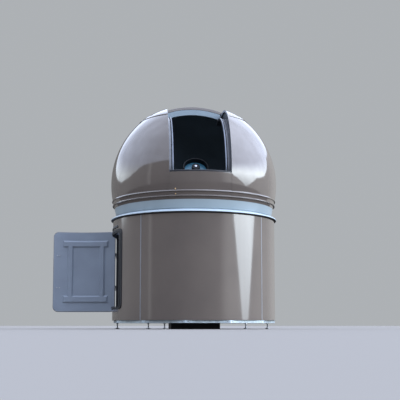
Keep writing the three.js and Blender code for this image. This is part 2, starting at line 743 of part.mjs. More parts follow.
function knuckle(bottom) {
  return solidOf(turnedGeometry([
    [0, bottom],
    [KNUCKLE_RADIUS, bottom],
    [KNUCKLE_RADIUS, bottom + KNUCKLE_HEIGHT],
    [0, bottom + KNUCKLE_HEIGHT],
  ], 12).translate(hingeX, hingeY, 0));
}

HINGE_HEIGHTS.forEach(([name, height]) => {
  const bracket = sector(
    rectangle(DOOR_FRAME_OUTER_RADIUS + GAP, DOOR_HINGE_RADIUS - 3, height, height + KNUCKLE_HEIGHT),
    DOOR_HINGE_AZIMUTH - 0.5,
    DOOR_HINGE_AZIMUTH + 0.1,
    WALL_FIRST_SEAM,
  );
  place(observatory, `hinge_${name}_frame`, join(knuckle(height), bracket), 'steel');

  const leafBottom = height + KNUCKLE_HEIGHT + KNUCKLE_GAP;
  const strap = cut(sector(
    rectangle(DOOR_HINGE_RADIUS - 5, DOOR_HINGE_RADIUS + 5, leafBottom, leafBottom + KNUCKLE_HEIGHT),
    DOOR_HINGE_AZIMUTH,
    LEAF_START_AZIMUTH + 1.5,
    LEAF_MIDDLE_AZIMUTH,
  ), radialPrism(
    roundedShape(leafHalfWidth + GAP, DOOR_BOTTOM, DOOR_TOP, LEAF_CORNER),
    LEAF_MIDDLE_AZIMUTH,
  ));
  placeOnDoor(`hinge_${name}_leaf`, join(knuckle(leafBottom), strap), 'steel');
});

// Pier with its block on the ground, and the fork that holds the telescope

const PIER_BLOCK = 310;
const PIER_BLOCK_TOP = 200;
const PIER_RADIUS = 110;
const FORK_BASE_BOTTOM = 1400;
const FORK_BASE_TOP = 1450;
const FORK_ARM_INNER = 176;
const FORK_ARM_OUTER = 216;
const FORK_ARM_TOP = PIVOT_HEIGHT + 60;
const FORK_ARM_HALF_DEPTH = 60;
const FORK_BASE_HALF_DEPTH = 75;
const AXLE_RADIUS = 22;
const AXLE_CLEARANCE = 0.8;

place(observatory, 'pier_block', boxGeometry(
  [-PIER_BLOCK, -PIER_BLOCK, 0],
  [PIER_BLOCK, PIER_BLOCK, PIER_BLOCK_TOP],
), 'blackPaint');
place(observatory, 'pier_column', turnedGeometry([
  [0, PIER_BLOCK_TOP + GAP],
  [PIER_RADIUS, PIER_BLOCK_TOP + GAP],
  [PIER_RADIUS, FORK_BASE_BOTTOM - GAP],
  [0, FORK_BASE_BOTTOM - GAP],
], 20), 'blackPaint');

function axle(radius, from, to) {
  return solidOf(turnedGeometry([[0, from], [radius, from], [radius, to], [0, to]], 16)
    .rotateY(Math.PI / 2)
    .translate(0, 0, PIVOT_HEIGHT));
}

const forkBase = box(
  [-FORK_ARM_OUTER, -FORK_BASE_HALF_DEPTH, FORK_BASE_BOTTOM],
  [FORK_ARM_OUTER, FORK_BASE_HALF_DEPTH, FORK_BASE_TOP],
);
const forkArms = [-1, 1].map((side) => {
  const [low, high] = side > 0 ? [FORK_ARM_INNER, FORK_ARM_OUTER] : [-FORK_ARM_OUTER, -FORK_ARM_INNER];
  return cut(
    box([low, -FORK_ARM_HALF_DEPTH, FORK_BASE_TOP - 1], [high, FORK_ARM_HALF_DEPTH, FORK_ARM_TOP]),
    axle(AXLE_RADIUS + AXLE_CLEARANCE, low - 1, high + 1),
  );
});
place(observatory, 'telescope_fork', join(forkBase, ...forkArms), 'blackPaint');

// Telescope: built pointing up about its altitude axis, then tipped to the front

const TUBE_RADIUS = 150;
const TUBE_BACK = -250;
const CORRECTOR_AT = 350;
const RING_FRONT = 417;
const RING_BACK = 300;
const RING_RADIUS = 162;
const TUBE_BORE = 146;

const telescope = new THREE.Group();
telescope.position.set(0, 0, PIVOT_HEIGHT);
telescope.rotation.x = rad(90 - TELESCOPE_ALTITUDE);
observatory.add(telescope);

const axles = [-1, 1].map((side) => {
  const from = side > 0 ? TUBE_RADIUS - 6 : -FORK_ARM_OUTER;
  const to = side > 0 ? FORK_ARM_OUTER : -TUBE_RADIUS + 6;
  return axle(AXLE_RADIUS, from, to).translate([0, 0, -PIVOT_HEIGHT]);
});
const tubeBody = solidOf(turnedGeometry([
  [0, TUBE_BACK],
  [110, TUBE_BACK],
  [TUBE_RADIUS, TUBE_BACK + 30],
  [TUBE_RADIUS, CORRECTOR_AT - GAP],
  [0, CORRECTOR_AT - GAP],
], 28));
place(telescope, 'telescope_tube', join(tubeBody, ...axles), 'blackPaint');
place(telescope, 'telescope_front_ring', ringGeometry([
  [TUBE_RADIUS + GAP, RING_BACK],
  [RING_RADIUS, RING_BACK],
  [RING_RADIUS, RING_FRONT],
  [TUBE_RADIUS + GAP, RING_FRONT],
], 0, 360 / 28), 'rubber');
place(telescope, 'telescope_corrector', turnedGeometry([
  [0, CORRECTOR_AT],
  [TUBE_BORE, CORRECTOR_AT],
  [TUBE_BORE, CORRECTOR_AT + 5],
  [0, CORRECTOR_AT + 5],
], 28), 'glass');
place(telescope, 'telescope_secondary_cell', turnedGeometry([
  [0, CORRECTOR_AT + 5 + GAP],
  [53, CORRECTOR_AT + 5 + GAP],
  [53, CORRECTOR_AT + 72],
  [50, CORRECTOR_AT + 76],
  [0, CORRECTOR_AT + 76],
], 20), 'blackPaint');

export default observatory;
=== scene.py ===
"""Looks of the observatory dome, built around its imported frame.

Metres, +Z up. The origin is on the ground under the dome's axis and the slit looks along -Y.
An azimuth is an angle in degrees from -Y towards +X. A shutter angle is measured about the
level axis through the dome's centre, in degrees from the zenith, positive to the front.
"""

import sys
import logging
import math
from dataclasses import dataclass
from enum import Enum
from typing import Callable, Iterable, Sequence

import bpy
from mathutils import Matrix, Vector


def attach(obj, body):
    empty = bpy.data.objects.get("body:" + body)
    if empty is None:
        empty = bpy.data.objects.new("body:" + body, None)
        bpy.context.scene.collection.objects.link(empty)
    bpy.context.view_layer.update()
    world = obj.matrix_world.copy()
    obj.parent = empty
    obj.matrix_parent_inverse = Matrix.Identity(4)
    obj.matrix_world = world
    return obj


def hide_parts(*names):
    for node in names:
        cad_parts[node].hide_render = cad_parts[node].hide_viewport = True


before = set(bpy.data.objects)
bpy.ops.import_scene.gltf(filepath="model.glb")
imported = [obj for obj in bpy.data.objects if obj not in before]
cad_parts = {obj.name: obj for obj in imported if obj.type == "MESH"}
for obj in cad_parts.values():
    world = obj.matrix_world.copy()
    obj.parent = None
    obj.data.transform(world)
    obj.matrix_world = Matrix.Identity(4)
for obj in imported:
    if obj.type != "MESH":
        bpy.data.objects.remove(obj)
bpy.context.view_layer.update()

LOG = logging.getLogger("observatory")

Piece = bpy.types.Object
Socket = bpy.types.NodeSocket
Profile = Sequence[tuple[float, float]]
Outline = list[tuple[float, float]]
Table = tuple[tuple[float, float], ...]
Triple = tuple[float, float, float]
Test = Callable[[Vector, Vector], bool]

# The upright direction, and the degrees in a radian
UP = Vector((0.0, 0.0, 1.0))
DEGREES = 57.2958

# GAP lies between neighbours, a facet spans FACET degrees, points within MERGE become one
GAP = 0.0003
FACET = 3.0
MERGE = 1e-5
SEED_SIZE = 0.001

# Widths of rounded edges, and the angle in degrees from which a moulded skin has an edge
THIN_EDGE = 0.001
SKIN_EDGE = 0.0012
PLATE_EDGE = 0.0015
SKIN_SHARP = 50.0

# Sizes that several assemblies share
WALL_RADIUS = 1.050
WALL_TOP = 1.375
FIRST_SEAM = -42.1
DOME_CENTRE = 1.867
DOME_RADIUS = 1.080
DOME_FOOT = 1.542
SHELL_THICKNESS = 0.008
CAP_RIM = 2.668
CAP_TOP = 2.924
CAP_CURVE = 1.205
SLIT_EDGE = 0.376
SLIT_CLEAR = 0.317
SLIT_REAR = 0.150
SILL_BOTTOM = 1.867
SILL_TOP = 1.889
PIVOT_HEIGHT = 1.816
DOOR_AZIMUTH = -87.1
HINGE_AZIMUTH = DOOR_AZIMUTH - 24.4
HINGE_RADIUS = 1.085
DOOR_OPEN = 97.0
FRAME_HALF_WIDTH = 0.443
FRAME_BOTTOM = 0.246
FRAME_TOP = 1.248
FRAME_CORNER = 0.062
APRON_ANGLE = 24.0
BLANK_ANGLE = 30.0


class Body(Enum):
    """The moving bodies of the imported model."""

    BASE = "base"
    DOME = "dome"
    SHUTTER = "shutter"
    DOOR = "door"
    TELESCOPE = "telescope"


class Slot(Enum):
    """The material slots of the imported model."""

    ARCH_PAINT = "arch_paint"
    BLACK_PAINT = "black_paint"
    DOOR_PAINT = "door_paint"
    GELCOAT = "gelcoat"
    GLASS = "glass"
    METAL = "metal"
    RING_PAINT = "ring_paint"
    RUBBER = "rubber"
    STEEL = "steel"


class Side(Enum):
    """The two sides of the slit, seen from the front."""

    LEFT = -1
    RIGHT = 1

    @property
    def word(self) -> str:
        """The side's name in a piece's name."""
        return self.name.lower()


class Cut(Enum):
    """What a tool does to the piece it meets."""

    AWAY = "DIFFERENCE"
    WITHIN = "INTERSECT"
    JOINED = "UNION"


class Sum(Enum):
    """What a Math node works out."""

    PLUS = "ADD"
    MINUS = "SUBTRACT"
    TIMES = "MULTIPLY"
    LEAST = "MINIMUM"
    SIZE = "ABSOLUTE"
    ARC_SINE = "ARCSINE"
    ARC_TANGENT = "ARCTAN2"


class Ray(Enum):
    """Kinds of ray that a surface or the surroundings can answer differently."""

    CAMERA = "Is Camera Ray"
    GLOSSY = "Is Glossy Ray"


class Mixture(Enum):
    """Kinds of Mix node, each with the places of its two inputs and its output."""

    VECTOR = (4, 5, 1)
    RGBA = (6, 7, 2)


# Places


def on_circle(radius: float, azimuth: float, height: float) -> Vector:
    """A point at a distance from the dome's axis.

    Args:
        radius: distance from the axis.
        azimuth: degrees from -Y towards +X.
        height: height above the ground.

    Returns:
        The point.
    """
    turn = math.radians(azimuth)
    return Vector((radius * math.sin(turn), -radius * math.cos(turn), height))


def on_shutter(distance: float, across: float, angle: float) -> Vector:
    """A point given about the shutter's level axis.

    Args:
        distance: distance from the axis.
        across: x.
        angle: degrees from the zenith, positive to the front.

    Returns:
        The point.
    """
    turn = math.radians(angle)
    return Vector((across, -distance * math.sin(turn), DOME_CENTRE + distance * math.cos(turn)))


def sphere_radius(height: float, radius: float = DOME_RADIUS) -> float:
    """The dome's radius at a height.

    Args:
        height: height above the ground.
        radius: radius of the sphere.

    Returns:
        The distance from the axis.
    """
    return math.sqrt(radius**2 - (height - DOME_CENTRE) ** 2)


def rectangle(inner: float, outer: float, low: float, high: float) -> Outline:
    """A closed rectangular profile.

    Args:
        inner: nearest distance from the axis.
        outer: furthest distance from the axis.
        low: lower end along the axis.
        high: upper end along the axis.

    Returns:
        Its four corners.
    """
    return [(inner, low), (outer, low), (outer, high), (inner, high)]


def round_rectangle(
    half_width: float, bottom: float, top: float, corner: float, steps: int = 8
) -> Outline:
    """An upright rectangle with round corners, centred on zero.

    Args:
        half_width: half of its width.
        bottom: its lower edge.
        top: its upper edge.
        corner: radius of its corners.
        steps: straight pieces in each corner.

    Returns:
        Its outline, anticlockwise.
    """
    centres = [
        (half_width - corner, bottom + corner, -90),
        (half_width - corner, top - corner, 0),
        (-half_width + corner, top - corner, 90),
        (-half_width + corner, bottom + corner, 180),
    ]
    outline = []
    for x, z, start in centres:
        for index in range(steps + 1):
            turn = math.radians(start + 90 * index / steps)
            outline.append((x + corner * math.cos(turn), z + corner * math.sin(turn)))
    return outline


# Tools of the bench


def deselect() -> None:
    """Leaves edit mode and selects nothing."""
    if bpy.context.object and bpy.context.object.mode != "OBJECT":
        bpy.ops.object.mode_set(mode="OBJECT")
    bpy.ops.object.select_all(action="DESELECT")


def take(piece: Piece) -> None:
    """Selects one piece alone and makes it the active one.

    Args:
        piece: the piece.
    """
    deselect()
    piece.select_set(True)
    bpy.context.view_layer.objects.active = piece


def open_mesh(piece: Piece) -> None:
    """Opens a piece in edit mode with all of it selected."""
    take(piece)
    bpy.ops.object.mode_set(mode="EDIT")
    bpy.ops.mesh.select_all(action="SELECT")


def mend(piece: Piece) -> Piece:
    """Merges doubles and turns all faces outwards.

    Args:
        piece: the piece.

    Returns:
        The same piece.
    """
    open_mesh(piece)
    bpy.ops.mesh.remove_doubles(threshold=MERGE)
    bpy.ops.mesh.delete_loose(use_verts=True, use_edges=True, use_faces=False)
    bpy.ops.mesh.select_all(action="SELECT")
    bpy.ops.mesh.normals_make_consistent(inside=False)
    deselect()
    return piece


def trace(name: str, points: Sequence[Vector], closed: bool = True) -> Piece:
    """Draws a chain of edges point by point from a plane merged to one point.

    Args:
        name: the piece's name.
        points: the points of the chain.
        closed: whether the last point is joined to the first.

    Returns:
        The piece, in edit mode with all of it selected.
    """
    deselect()
    bpy.ops.mesh.primitive_plane_add(size=SEED_SIZE, location=points[0])
    piece = bpy.context.object
    piece.name = piece.data.name = name
    bpy.ops.object.transform_apply(location=True, rotation=True, scale=True)
    bpy.ops.object.mode_set(mode="EDIT")
    bpy.ops.mesh.select_mode(type="VERT")
    bpy.ops.mesh.select_all(action="SELECT")
    bpy.ops.mesh.merge(type="CENTER")
    chain = [*points, points[0]] if closed else list(points)
    for here, there in zip(chain, chain[1:]):
        bpy.ops.mesh.extrude_vertices_move(TRANSFORM_OT_translate={"value": there - here})
    bpy.ops.mesh.select_all(action="SELECT")
    bpy.ops.mesh.remove_doubles(threshold=MERGE)
    bpy.ops.mesh.select_all(action="SELECT")
    return piece


def sweep(piece: Piece, angle: float, steps: int, centre: Vector, axis: Vector) -> Piece:
    """Spins an open chain or closed outline about an axis and closes what it leaves open.

    Args:
        piece: the outline, in edit mode with all of it selected.
        angle: degrees, right-handed about the axis; 360 makes a full ring.
        steps: how many facets.
        centre: a point on the axis.
        axis: the axis.

    Returns:
        The piece, mended, in object mode.
    """
    bpy.ops.mesh.spin(steps=steps, angle=math.radians(angle), center=centre, axis=-axis)
    bpy.ops.mesh.select_all(action="SELECT")
    bpy.ops.mesh.remove_doubles(threshold=MERGE)
    if angle < 360:
        bpy.ops.mesh.select_all(action="DESELECT")
        bpy.ops.mesh.select_mode(type="EDGE")
        bpy.ops.mesh.select_non_manifold()
        bpy.ops.mesh.fill_holes(sides=0)
    return mend(piece)


def ring(
    name: str, profile: Profile, start: float = 0.0, end: float = 360.0, facet: float = FACET
) -> Piece:
    """A ring or a sector of a ring about the dome's axis.

    Args:
        name: the piece's name.
        profile: closed outline of radius and height.
        start: azimuth where it starts.
        end: azimuth where it ends.
        facet: degrees of each facet.

    Returns:
        The piece.
    """
    piece = trace(name, [on_circle(radius, start, height) for radius, height in profile])
    steps = max(1, round((end - start) / facet))
    return sweep(piece, end - start, steps, Vector(), UP)


def arch(name: str, profile: Profile, start: float, end: float, facet: float = FACET) -> Piece:
    """A sector about the shutter's level axis.

    Args:
        name: the piece's name.
        profile: closed outline of distance from the axis and x.
        start: shutter angle where it starts.
        end: shutter angle where it ends.
        facet: degrees of each facet.

    Returns:
        The piece.
    """
    piece = trace(name, [on_shutter(distance, across, start) for distance, across in profile])
    steps = max(1, round((end - start) / facet))
    return sweep(piece, end - start, steps, Vector((0, 0, DOME_CENTRE)), Vector((1, 0, 0)))


def turned(name: str, profile: Profile, sides: int = 48, place: Matrix | None = None) -> Piece:
    """A body turned about Z from an outline that starts and ends on the axis.

    Args:
        name: the piece's name.
        profile: open outline of radius and height.
        sides: how many facets.
        place: where the body goes.

    Returns:
        The piece.
    """
    piece = trace(name, [Vector((0, -radius, z)) for radius, z in profile], closed=False)
    sweep(piece, 360, sides, Vector(), UP)
    return settle(piece, place) if place else piece


def upright_on(spot: Vector, azimuth: float, turn: float = 90.0) -> Matrix:
    """The place of a small turned fitting whose foot lies on an upright face.

    Args:
        spot: the middle of its foot.
        azimuth: where the face looks.
        turn: 90 for a fitting that points away from the dome's axis, -90 for one that points to it.

    Returns:
        The place.
    """
    tip = Matrix.Rotation(math.radians(turn), 4, "X")
    return Matrix.Translation(spot) @ (Matrix.Rotation(math.radians(azimuth), 4, "Z") @ tip)


def settle(piece: Piece, place: Matrix) -> Piece:
    """Moves a piece into its place and applies that to its mesh.

    Args:
        piece: the piece.
        place: where it goes.

    Returns:
        The same piece.
    """
    take(piece)
    piece.matrix_world = place
    bpy.ops.object.transform_apply(location=True, rotation=True, scale=True)
    return piece


def block(name: str, low: Sequence[float], high: Sequence[float]) -> Piece:
    """A rectangular block between two corners.

    Args:
        name: the piece's name.
        low: its lowest corner.
        high: its highest corner.

    Returns:
        The piece.
    """
    deselect()
    middle = [(a + b) / 2 for a, b in zip(low, high)]
    size = [b - a for a, b in zip(low, high)]
    bpy.ops.mesh.primitive_cube_add(size=1, location=middle, scale=size)
    piece = bpy.context.object
    piece.name = piece.data.name = name
    bpy.ops.object.transform_apply(location=True, rotation=True, scale=True)
    return piece


def prism(name: str, outline: Sequence[Vector], reach: Vector) -> Piece:
    """A flat outline filled and extruded along a vector.

    Args:
        name: the piece's name.
        outline: its corners in one plane.
        reach: how far and which way it is extruded.

    Returns:
        The piece.
    """
    piece = trace(name, outline)
    bpy.ops.mesh.edge_face_add()
    bpy.ops.mesh.extrude_region_move(TRANSFORM_OT_translate={"value": reach})
    return mend(piece)


def radial_prism(
    name: str, outline: Profile, azimuth: float, inner: float = 0.7, outer: float = 1.3
) -> Piece:
    """A prism that stands out from the axis along an azimuth.

    Args:
        name: the piece's name.
        outline: upright outline, across and up.
        azimuth: where it points.
        inner: distance where it starts.
        outer: distance where it ends.

    Returns:
        The piece.
    """
    out = on_circle(1.0, azimuth, 0.0)
    across = on_circle(1.0, azimuth + 90, 0.0)
    corners = [out * inner + across * x + UP * z for x, z in outline]
    return prism(name, corners, out * (outer - inner))


def combine(piece: Piece, other: Piece, cut: Cut) -> Piece:
    """Cuts, crosses or joins a piece with another, which goes away.

    Args:
        piece: the piece that stays.
        other: the tool.
        cut: what the tool does to it.

    Returns:
        The piece that stays.
    """
    take(piece)
    boolean = piece.modifiers.new("cut", "BOOLEAN")
    boolean.operation = cut.value
    boolean.solver = "EXACT"
    boolean.object = other
    bpy.ops.object.modifier_apply(modifier=boolean.name)
    bpy.data.objects.remove(other)
    return piece


def trim(piece: Piece, point: Sequence[float], normal: Sequence[float]) -> Piece:
    """Cuts a piece with a plane, throws away the side its normal points to, and fills the cut.

    Args:
        piece: the piece.
        point: a point on the plane.
        normal: the plane's normal, towards what goes away.

    Returns:
        The same piece.
    """
    open_mesh(piece)
    bpy.ops.mesh.bisect(plane_co=point, plane_no=normal, use_fill=True, clear_outer=True)
    return mend(piece)


def narrow(piece: Piece, half_width: float) -> Piece:
    """Cuts a piece to a width about the middle of the slit.

    Args:
        piece: the piece.
        half_width: half of the width that stays.

    Returns:
        The same piece.
    """
    trim(piece, (half_width, 0, 0), (1, 0, 0))
    return trim(piece, (-half_width, 0, 0), (-1, 0, 0))


def weld(pieces: Sequence[Piece], name: str) -> Piece:
    """Joins closed bodies into one piece without cutting them.

    Args:
        pieces: the bodies.
        name: the joined piece's name.

    Returns:
        The joined piece.
    """
    take(pieces[0])
    for other in pieces[1:]:
        other.select_set(True)
    bpy.ops.object.join()
    piece = bpy.context.object
    piece.name = piece.data.name = name
    return piece


def twin(piece: Piece, name: str, place: Matrix) -> Piece:
    """A copy with its own mesh, moved to another place.

    Args:
        piece: the piece to copy.
        name: the copy's name.
        place: how the copy is moved.

    Returns:
        The copy.
    """
    take(piece)
    bpy.ops.object.duplicate(linked=False)
    copy = bpy.context.object
    copy.name = copy.data.name = name
    return settle(copy, place)


def ease(piece: Piece, width: float, segments: int = 2, sharp: float = 32.0) -> Piece:
    """Rounds the sharp edges of a piece and shades it smooth between them.

    Args:
        piece: the piece.
        width: width of the rounding.
        segments: how many facets it has.
        sharp: smallest angle in degrees that counts as an edge.

    Returns:
        The same piece.
    """
    take(piece)
    bevel = piece.modifiers.new("edges", "BEVEL")
    bevel.width = width
    bevel.segments = segments
    bevel.limit_method = "ANGLE"
    bevel.angle_limit = math.radians(sharp)
    bevel.harden_normals = False
    bpy.ops.object.modifier_apply(modifier=bevel.name)
    return smooth(piece)


def smooth(piece: Piece, sharp: float = 40.0) -> Piece:
    """Shades a piece smooth except at edges sharper than an angle.

    Args:
        piece: the piece.
        sharp: the angle in degrees.

    Returns:
        The same piece.
    """
    take(piece)
    bpy.ops.object.shade_smooth_by_angle(angle=math.radians(sharp), keep_sharp_edges=False)
    weighted = piece.modifiers.new("normals", "WEIGHTED_NORMAL")
    weighted.keep_sharp = True
    weighted.weight = 80
    bpy.ops.object.modifier_apply(modifier=weighted.name)
    return piece


def tube_along(name: str, points: Sequence[Vector], radius: float) -> Piece:
    """A round cord of rubber along a path that closes on itself.

    Args:
        name: the piece's name.
        points: the path.
        radius: its radius.

    Returns:
        The piece.
    """
    take(trace(name, points))
    bpy.ops.object.convert(target="CURVE")
    piece = bpy.context.object
    piece.data.bevel_depth = radius
    piece.data.bevel_resolution = 2
    piece.data.use_fill_caps = False
    bpy.ops.object.convert(target="MESH")
    piece = bpy.context.object
    piece.name = piece.data.name = name
    mend(piece)
    return smooth(piece, 50)


# Finishes

# Where a noise's value mostly lies, and the part of that where patches of colour change over
NOISE_SPAN = (0.3, 0.7)
PATCH_SPAN = (0.35, 0.65)


def socket_value(node: bpy.types.Node, **values: object) -> None:
    """Sets sockets of a node by name, where an underscore stands for a space.

    Args:
        node: the node.
        values: the value of each socket.
    """
    for name, value in values.items():
        node.inputs[name.replace("_", " ")].default_value = value


@dataclass(frozen=True)
class NodeKit:
    """A node tree with short ways to add to it."""

    tree: bpy.types.NodeTree

    def add(self, kind: str, **values: object) -> bpy.types.Node:
        """Adds a node.

        Args:
            kind: the node's type.
            values: the values of its sockets, as socket_value takes them.

        Returns:
            The node.
        """
        node = self.tree.nodes.new(kind)
        socket_value(node, **values)
        return node

    def feed(self, place: Socket, value: object) -> None:
        """Links a socket to an input, or sets the input to a plain value.

        Args:
            place: the input.
            value: a socket, or a number, vector or colour.
        """
        if isinstance(value, Socket):
            self.tree.links.new(value, place)
        else:
            place.default_value = value

    def noise(self, place: Socket, scale: float, detail: float, roughness: float = 0.5) -> Socket:
        """Adds a noise.

        Args:
            place: the coordinates it reads.
            scale: how many features it has in one unit of them.
            detail: how many finer layers it has.
            roughness: how strong the finer layers are.

        Returns:
            The noise's value.
        """
        node = self.add("ShaderNodeTexNoise", Scale=scale, Detail=detail, Roughness=roughness)
        self.feed(node.inputs["Vector"], place)
        return node.outputs["Fac"]

    def spread(self, value: Socket, soft: bool = False, **limits: float) -> Socket:
        """Maps a value from one range to another and stops it at the ends.

        Args:
            value: the value.
            soft: whether it eases in and out.
            limits: From_Min, From_Max, To_Min and To_Max, 0 and 1 where left out.

        Returns:
            The mapped value.
        """
        node = self.add("ShaderNodeMapRange", **limits)
        if soft:
            node.interpolation_type = "SMOOTHSTEP"
        self.feed(node.inputs["Value"], value)
        return node.outputs["Result"]

    def mixed(self, kind: Mixture, share: Socket, first: object, second: object) -> Socket:
        """Mixes two vectors or colours.

        Args:
            kind: which of the two.
            share: how much of the second one.
            first: a socket or plain value.
            second: a socket or plain value.

        Returns:
            The mixture.
        """
        node = self.tree.nodes.new("ShaderNodeMix")
        node.data_type = kind.name
        low, high, out = kind.value
        for place, value in ((0, share), (low, first), (high, second)):
            self.feed(node.inputs[place], value)
        return node.outputs[out]

    def result(self, work: Sum, *values: object) -> Socket:
        """Adds a Math node.

        Args:
            work: what it works out.
            values: one or two sockets or numbers.

        Returns:
            Its result.
        """
        node = self.tree.nodes.new("ShaderNodeMath")
        node.operation = work.value
        for place, value in zip(node.inputs, values):
            self.feed(place, value)
        return node.outputs[0]

    def scaled(self, vector: object, factor: Socket) -> Socket:
        """Makes a vector longer or shorter.

        Args:
            vector: a socket or plain vector.
            factor: how many times longer.

        Returns:
            The scaled vector.
        """
        node = self.tree.nodes.new("ShaderNodeVectorMath")
        node.operation = "SCALE"
        self.feed(node.inputs[0], vector)
        self.feed(node.inputs["Scale"], factor)
        return node.outputs[0]

    def curve(self, azimuth: Socket, points: Table, top: float) -> Socket:
        """A curve over the azimuth, straight between its points.

        Args:
            azimuth: the azimuth in degrees, from -180 to 180.
            points: azimuths and values.
            top: the largest value that the curve can give.

        Returns:
            The curve's value.
        """
        node = self.add("ShaderNodeFloatCurve")
        line = node.mapping.curves[0]
        for index, (degrees, value) in enumerate(points):
            place = ((degrees + 180) / 360, value / top)
            if index < 2:
                line.points[index].location = place
            else:
                line.points.new(*place)
        for point in line.points:
            point.handle_type = "VECTOR"
        node.mapping.update()
        share = self.spread(azimuth, From_Min=-180.0, From_Max=180.0)
        self.feed(node.inputs["Value"], share)
        return self.result(Sum.TIMES, node.outputs["Value"], top)

    def choice(self, ray: Ray, otherwise: Socket, wanted: Socket) -> Socket:
        """Picks one of two shaders by the kind of ray.

        Args:
            ray: the kind that is asked about.
            otherwise: the shader for all other rays.
            wanted: the shader for rays of that kind.

        Returns:
            The shader.
        """
        path = self.add("ShaderNodeLightPath")
        node = self.add("ShaderNodeMixShader")
        for place, value in enumerate((path.outputs[ray.value], otherwise, wanted)):
            self.feed(node.inputs[place], value)
        return node.outputs[0]


@dataclass(frozen=True)
class Finish:
    """A painted, moulded or bare finish with its own grain.

    Attributes:
        name: the material's name.
        colour: linear base colour.
        shade: linear colour of its darker patches.
        roughness: mean roughness.
        spread: how far the roughness wanders.
        metallic: 1 for bare metal.
        coat: weight of a clear coat.
        patch: size of its colour patches in metres.
        grain: size of its surface grain in metres.
        depth: height of the grain in metres.
        stretch: how many times shorter the grain is along x, y and z.
    """

    name: str
    colour: Triple
    shade: Triple
    roughness: float
    spread: float = 0.05
    metallic: float = 0.0
    coat: float = 0.0
    patch: float = 0.35
    grain: float = 0.006
    depth: float = 0.00004
    stretch: Triple = (1.0, 1.0, 1.0)

    def material(self) -> bpy.types.Material:
        """Makes the node material once and gives it out again after that.

        Returns:
            The material.
        """
        known = bpy.data.materials.get(self.name)
        if known:
            return known
        made = bpy.data.materials.new(self.name)
        made.use_nodes = True
        made.diffuse_color = (*self.colour, 1.0)
        kit = NodeKit(made.node_tree)
        shader = made.node_tree.nodes["Principled BSDF"]
        socket_value(shader, Metallic=self.metallic, IOR=1.5)
        socket_value(shader, Coat_Weight=self.coat, Coat_Roughness=0.03)
        place = kit.add("ShaderNodeTexCoord").outputs["Object"]
        patches = kit.noise(place, 1.0 / self.patch, 4.0)
        low, high = PATCH_SPAN
        shares = kit.spread(patches, From_Min=low, From_Max=high)
        colour = kit.mixed(Mixture.RGBA, shares, (*self.shade, 1.0), (*self.colour, 1.0))
        kit.feed(shader.inputs["Base Color"], colour)
        low, high = NOISE_SPAN
        least, most = self.roughness - self.spread, self.roughness + self.spread
        rough = kit.spread(patches, From_Min=low, From_Max=high, To_Min=least, To_Max=most)
        kit.feed(shader.inputs["Roughness"], rough)
        mapping = kit.add("ShaderNodeMapping", Scale=self.stretch)
        kit.feed(mapping.inputs["Vector"], place)
        bump = kit.add("ShaderNodeBump", Strength=1.0, Distance=self.depth)
        grain = kit.noise(mapping.outputs["Vector"], 1.0 / self.grain, 2.0)
        kit.feed(bump.inputs["Height"], grain)
        kit.feed(shader.inputs["Normal"], bump.outputs["Normal"])
        if self.coat:
            kit.feed(shader.inputs["Coat Normal"], bump.outputs["Normal"])
        return made


@dataclass(frozen=True)
class Glass(Finish):
    """Coated glass over a dark tube, which mirrors the sky less than paint does; its teal base
    colour is a painted reflection of the sky.
    """

    def material(self) -> bpy.types.Material:
        """Makes the finish with a weaker gloss.

        Returns:
            The material.
        """
        made = super().material()
        socket_value(made.node_tree.nodes["Principled BSDF"], Specular_IOR_Level=0.4)
        return made


GELCOAT = Finish(
    "polished_gelcoat", (0.138, 0.115, 0.100), (0.124, 0.104, 0.092), 0.10, 0.03,
    coat=1.0, patch=0.5, grain=0.035, depth=0.00006,
)
# A dark grey inside the dome and shutter, darker than the inner skin: painted shade inside the
# dome.
SHADED_LINING = Finish("dark_lining", (0.105, 0.140, 0.165), (0.085, 0.115, 0.135), 0.85, grain=0.004)
INNER_SKIN = Finish(
    "grey_inner_skin", (0.270, 0.315, 0.380), (0.245, 0.285, 0.345), 0.42, 0.06,
    patch=0.25, grain=0.012, depth=0.00010,
)
RING_PAINT = Finish(
    "ring_enamel", (0.345, 0.415, 0.450), (0.310, 0.380, 0.412), 0.33, 0.05,
    patch=0.3, grain=0.010, depth=0.00005,
)
LIP_PAINT = Finish(
    "lip_enamel", (0.510, 0.610, 0.680), (0.465, 0.560, 0.630), 0.36, 0.05,
    patch=0.3, grain=0.010, depth=0.00005,
)
ARCH_PAINT = Finish(
    "arch_enamel", (0.250, 0.320, 0.367), (0.228, 0.292, 0.337), 0.40, 0.05,
    patch=0.2, grain=0.010, depth=0.00005,
)
RAIL_METAL = Finish(
    "drawn_aluminium", (0.20, 0.22, 0.255), (0.155, 0.172, 0.20), 0.30, 0.06,
    metallic=1.0, patch=0.12, grain=0.0015, depth=0.00002, stretch=(22.0, 1.0, 1.0),
)
SEAM_METAL = Finish(
    "seam_aluminium", (0.30, 0.305, 0.32), (0.25, 0.255, 0.27), 0.55, 0.06,
    metallic=0.4, patch=0.3, grain=0.002, depth=0.00002, stretch=(1.0, 1.0, 0.1),
)
BASE_METAL = Finish(
    "galvanised_bar", (0.66, 0.77, 0.83), (0.52, 0.61, 0.67), 0.48, 0.10,
    metallic=0.45, patch=0.09, grain=0.004, depth=0.00004,
)
ZINC = Finish(
    "zinc_plate", (0.55, 0.56, 0.57), (0.42, 0.43, 0.44), 0.38, 0.10,
    metallic=1.0, patch=0.02, grain=0.002, depth=0.00003,
)
RUBBER = Finish(
    "black_rubber", (0.016, 0.018, 0.022), (0.011, 0.012, 0.015), 0.55, 0.08, grain=0.003,
)
# Near-black for the slit's channels, standing in for the shadow in the gap between trim and shell:
# painted shade.
CHANNEL_SHADE = Finish(
    "channel_paint", (0.045, 0.048, 0.056), (0.038, 0.041, 0.048), 0.45, 0.08, grain=0.004,
)
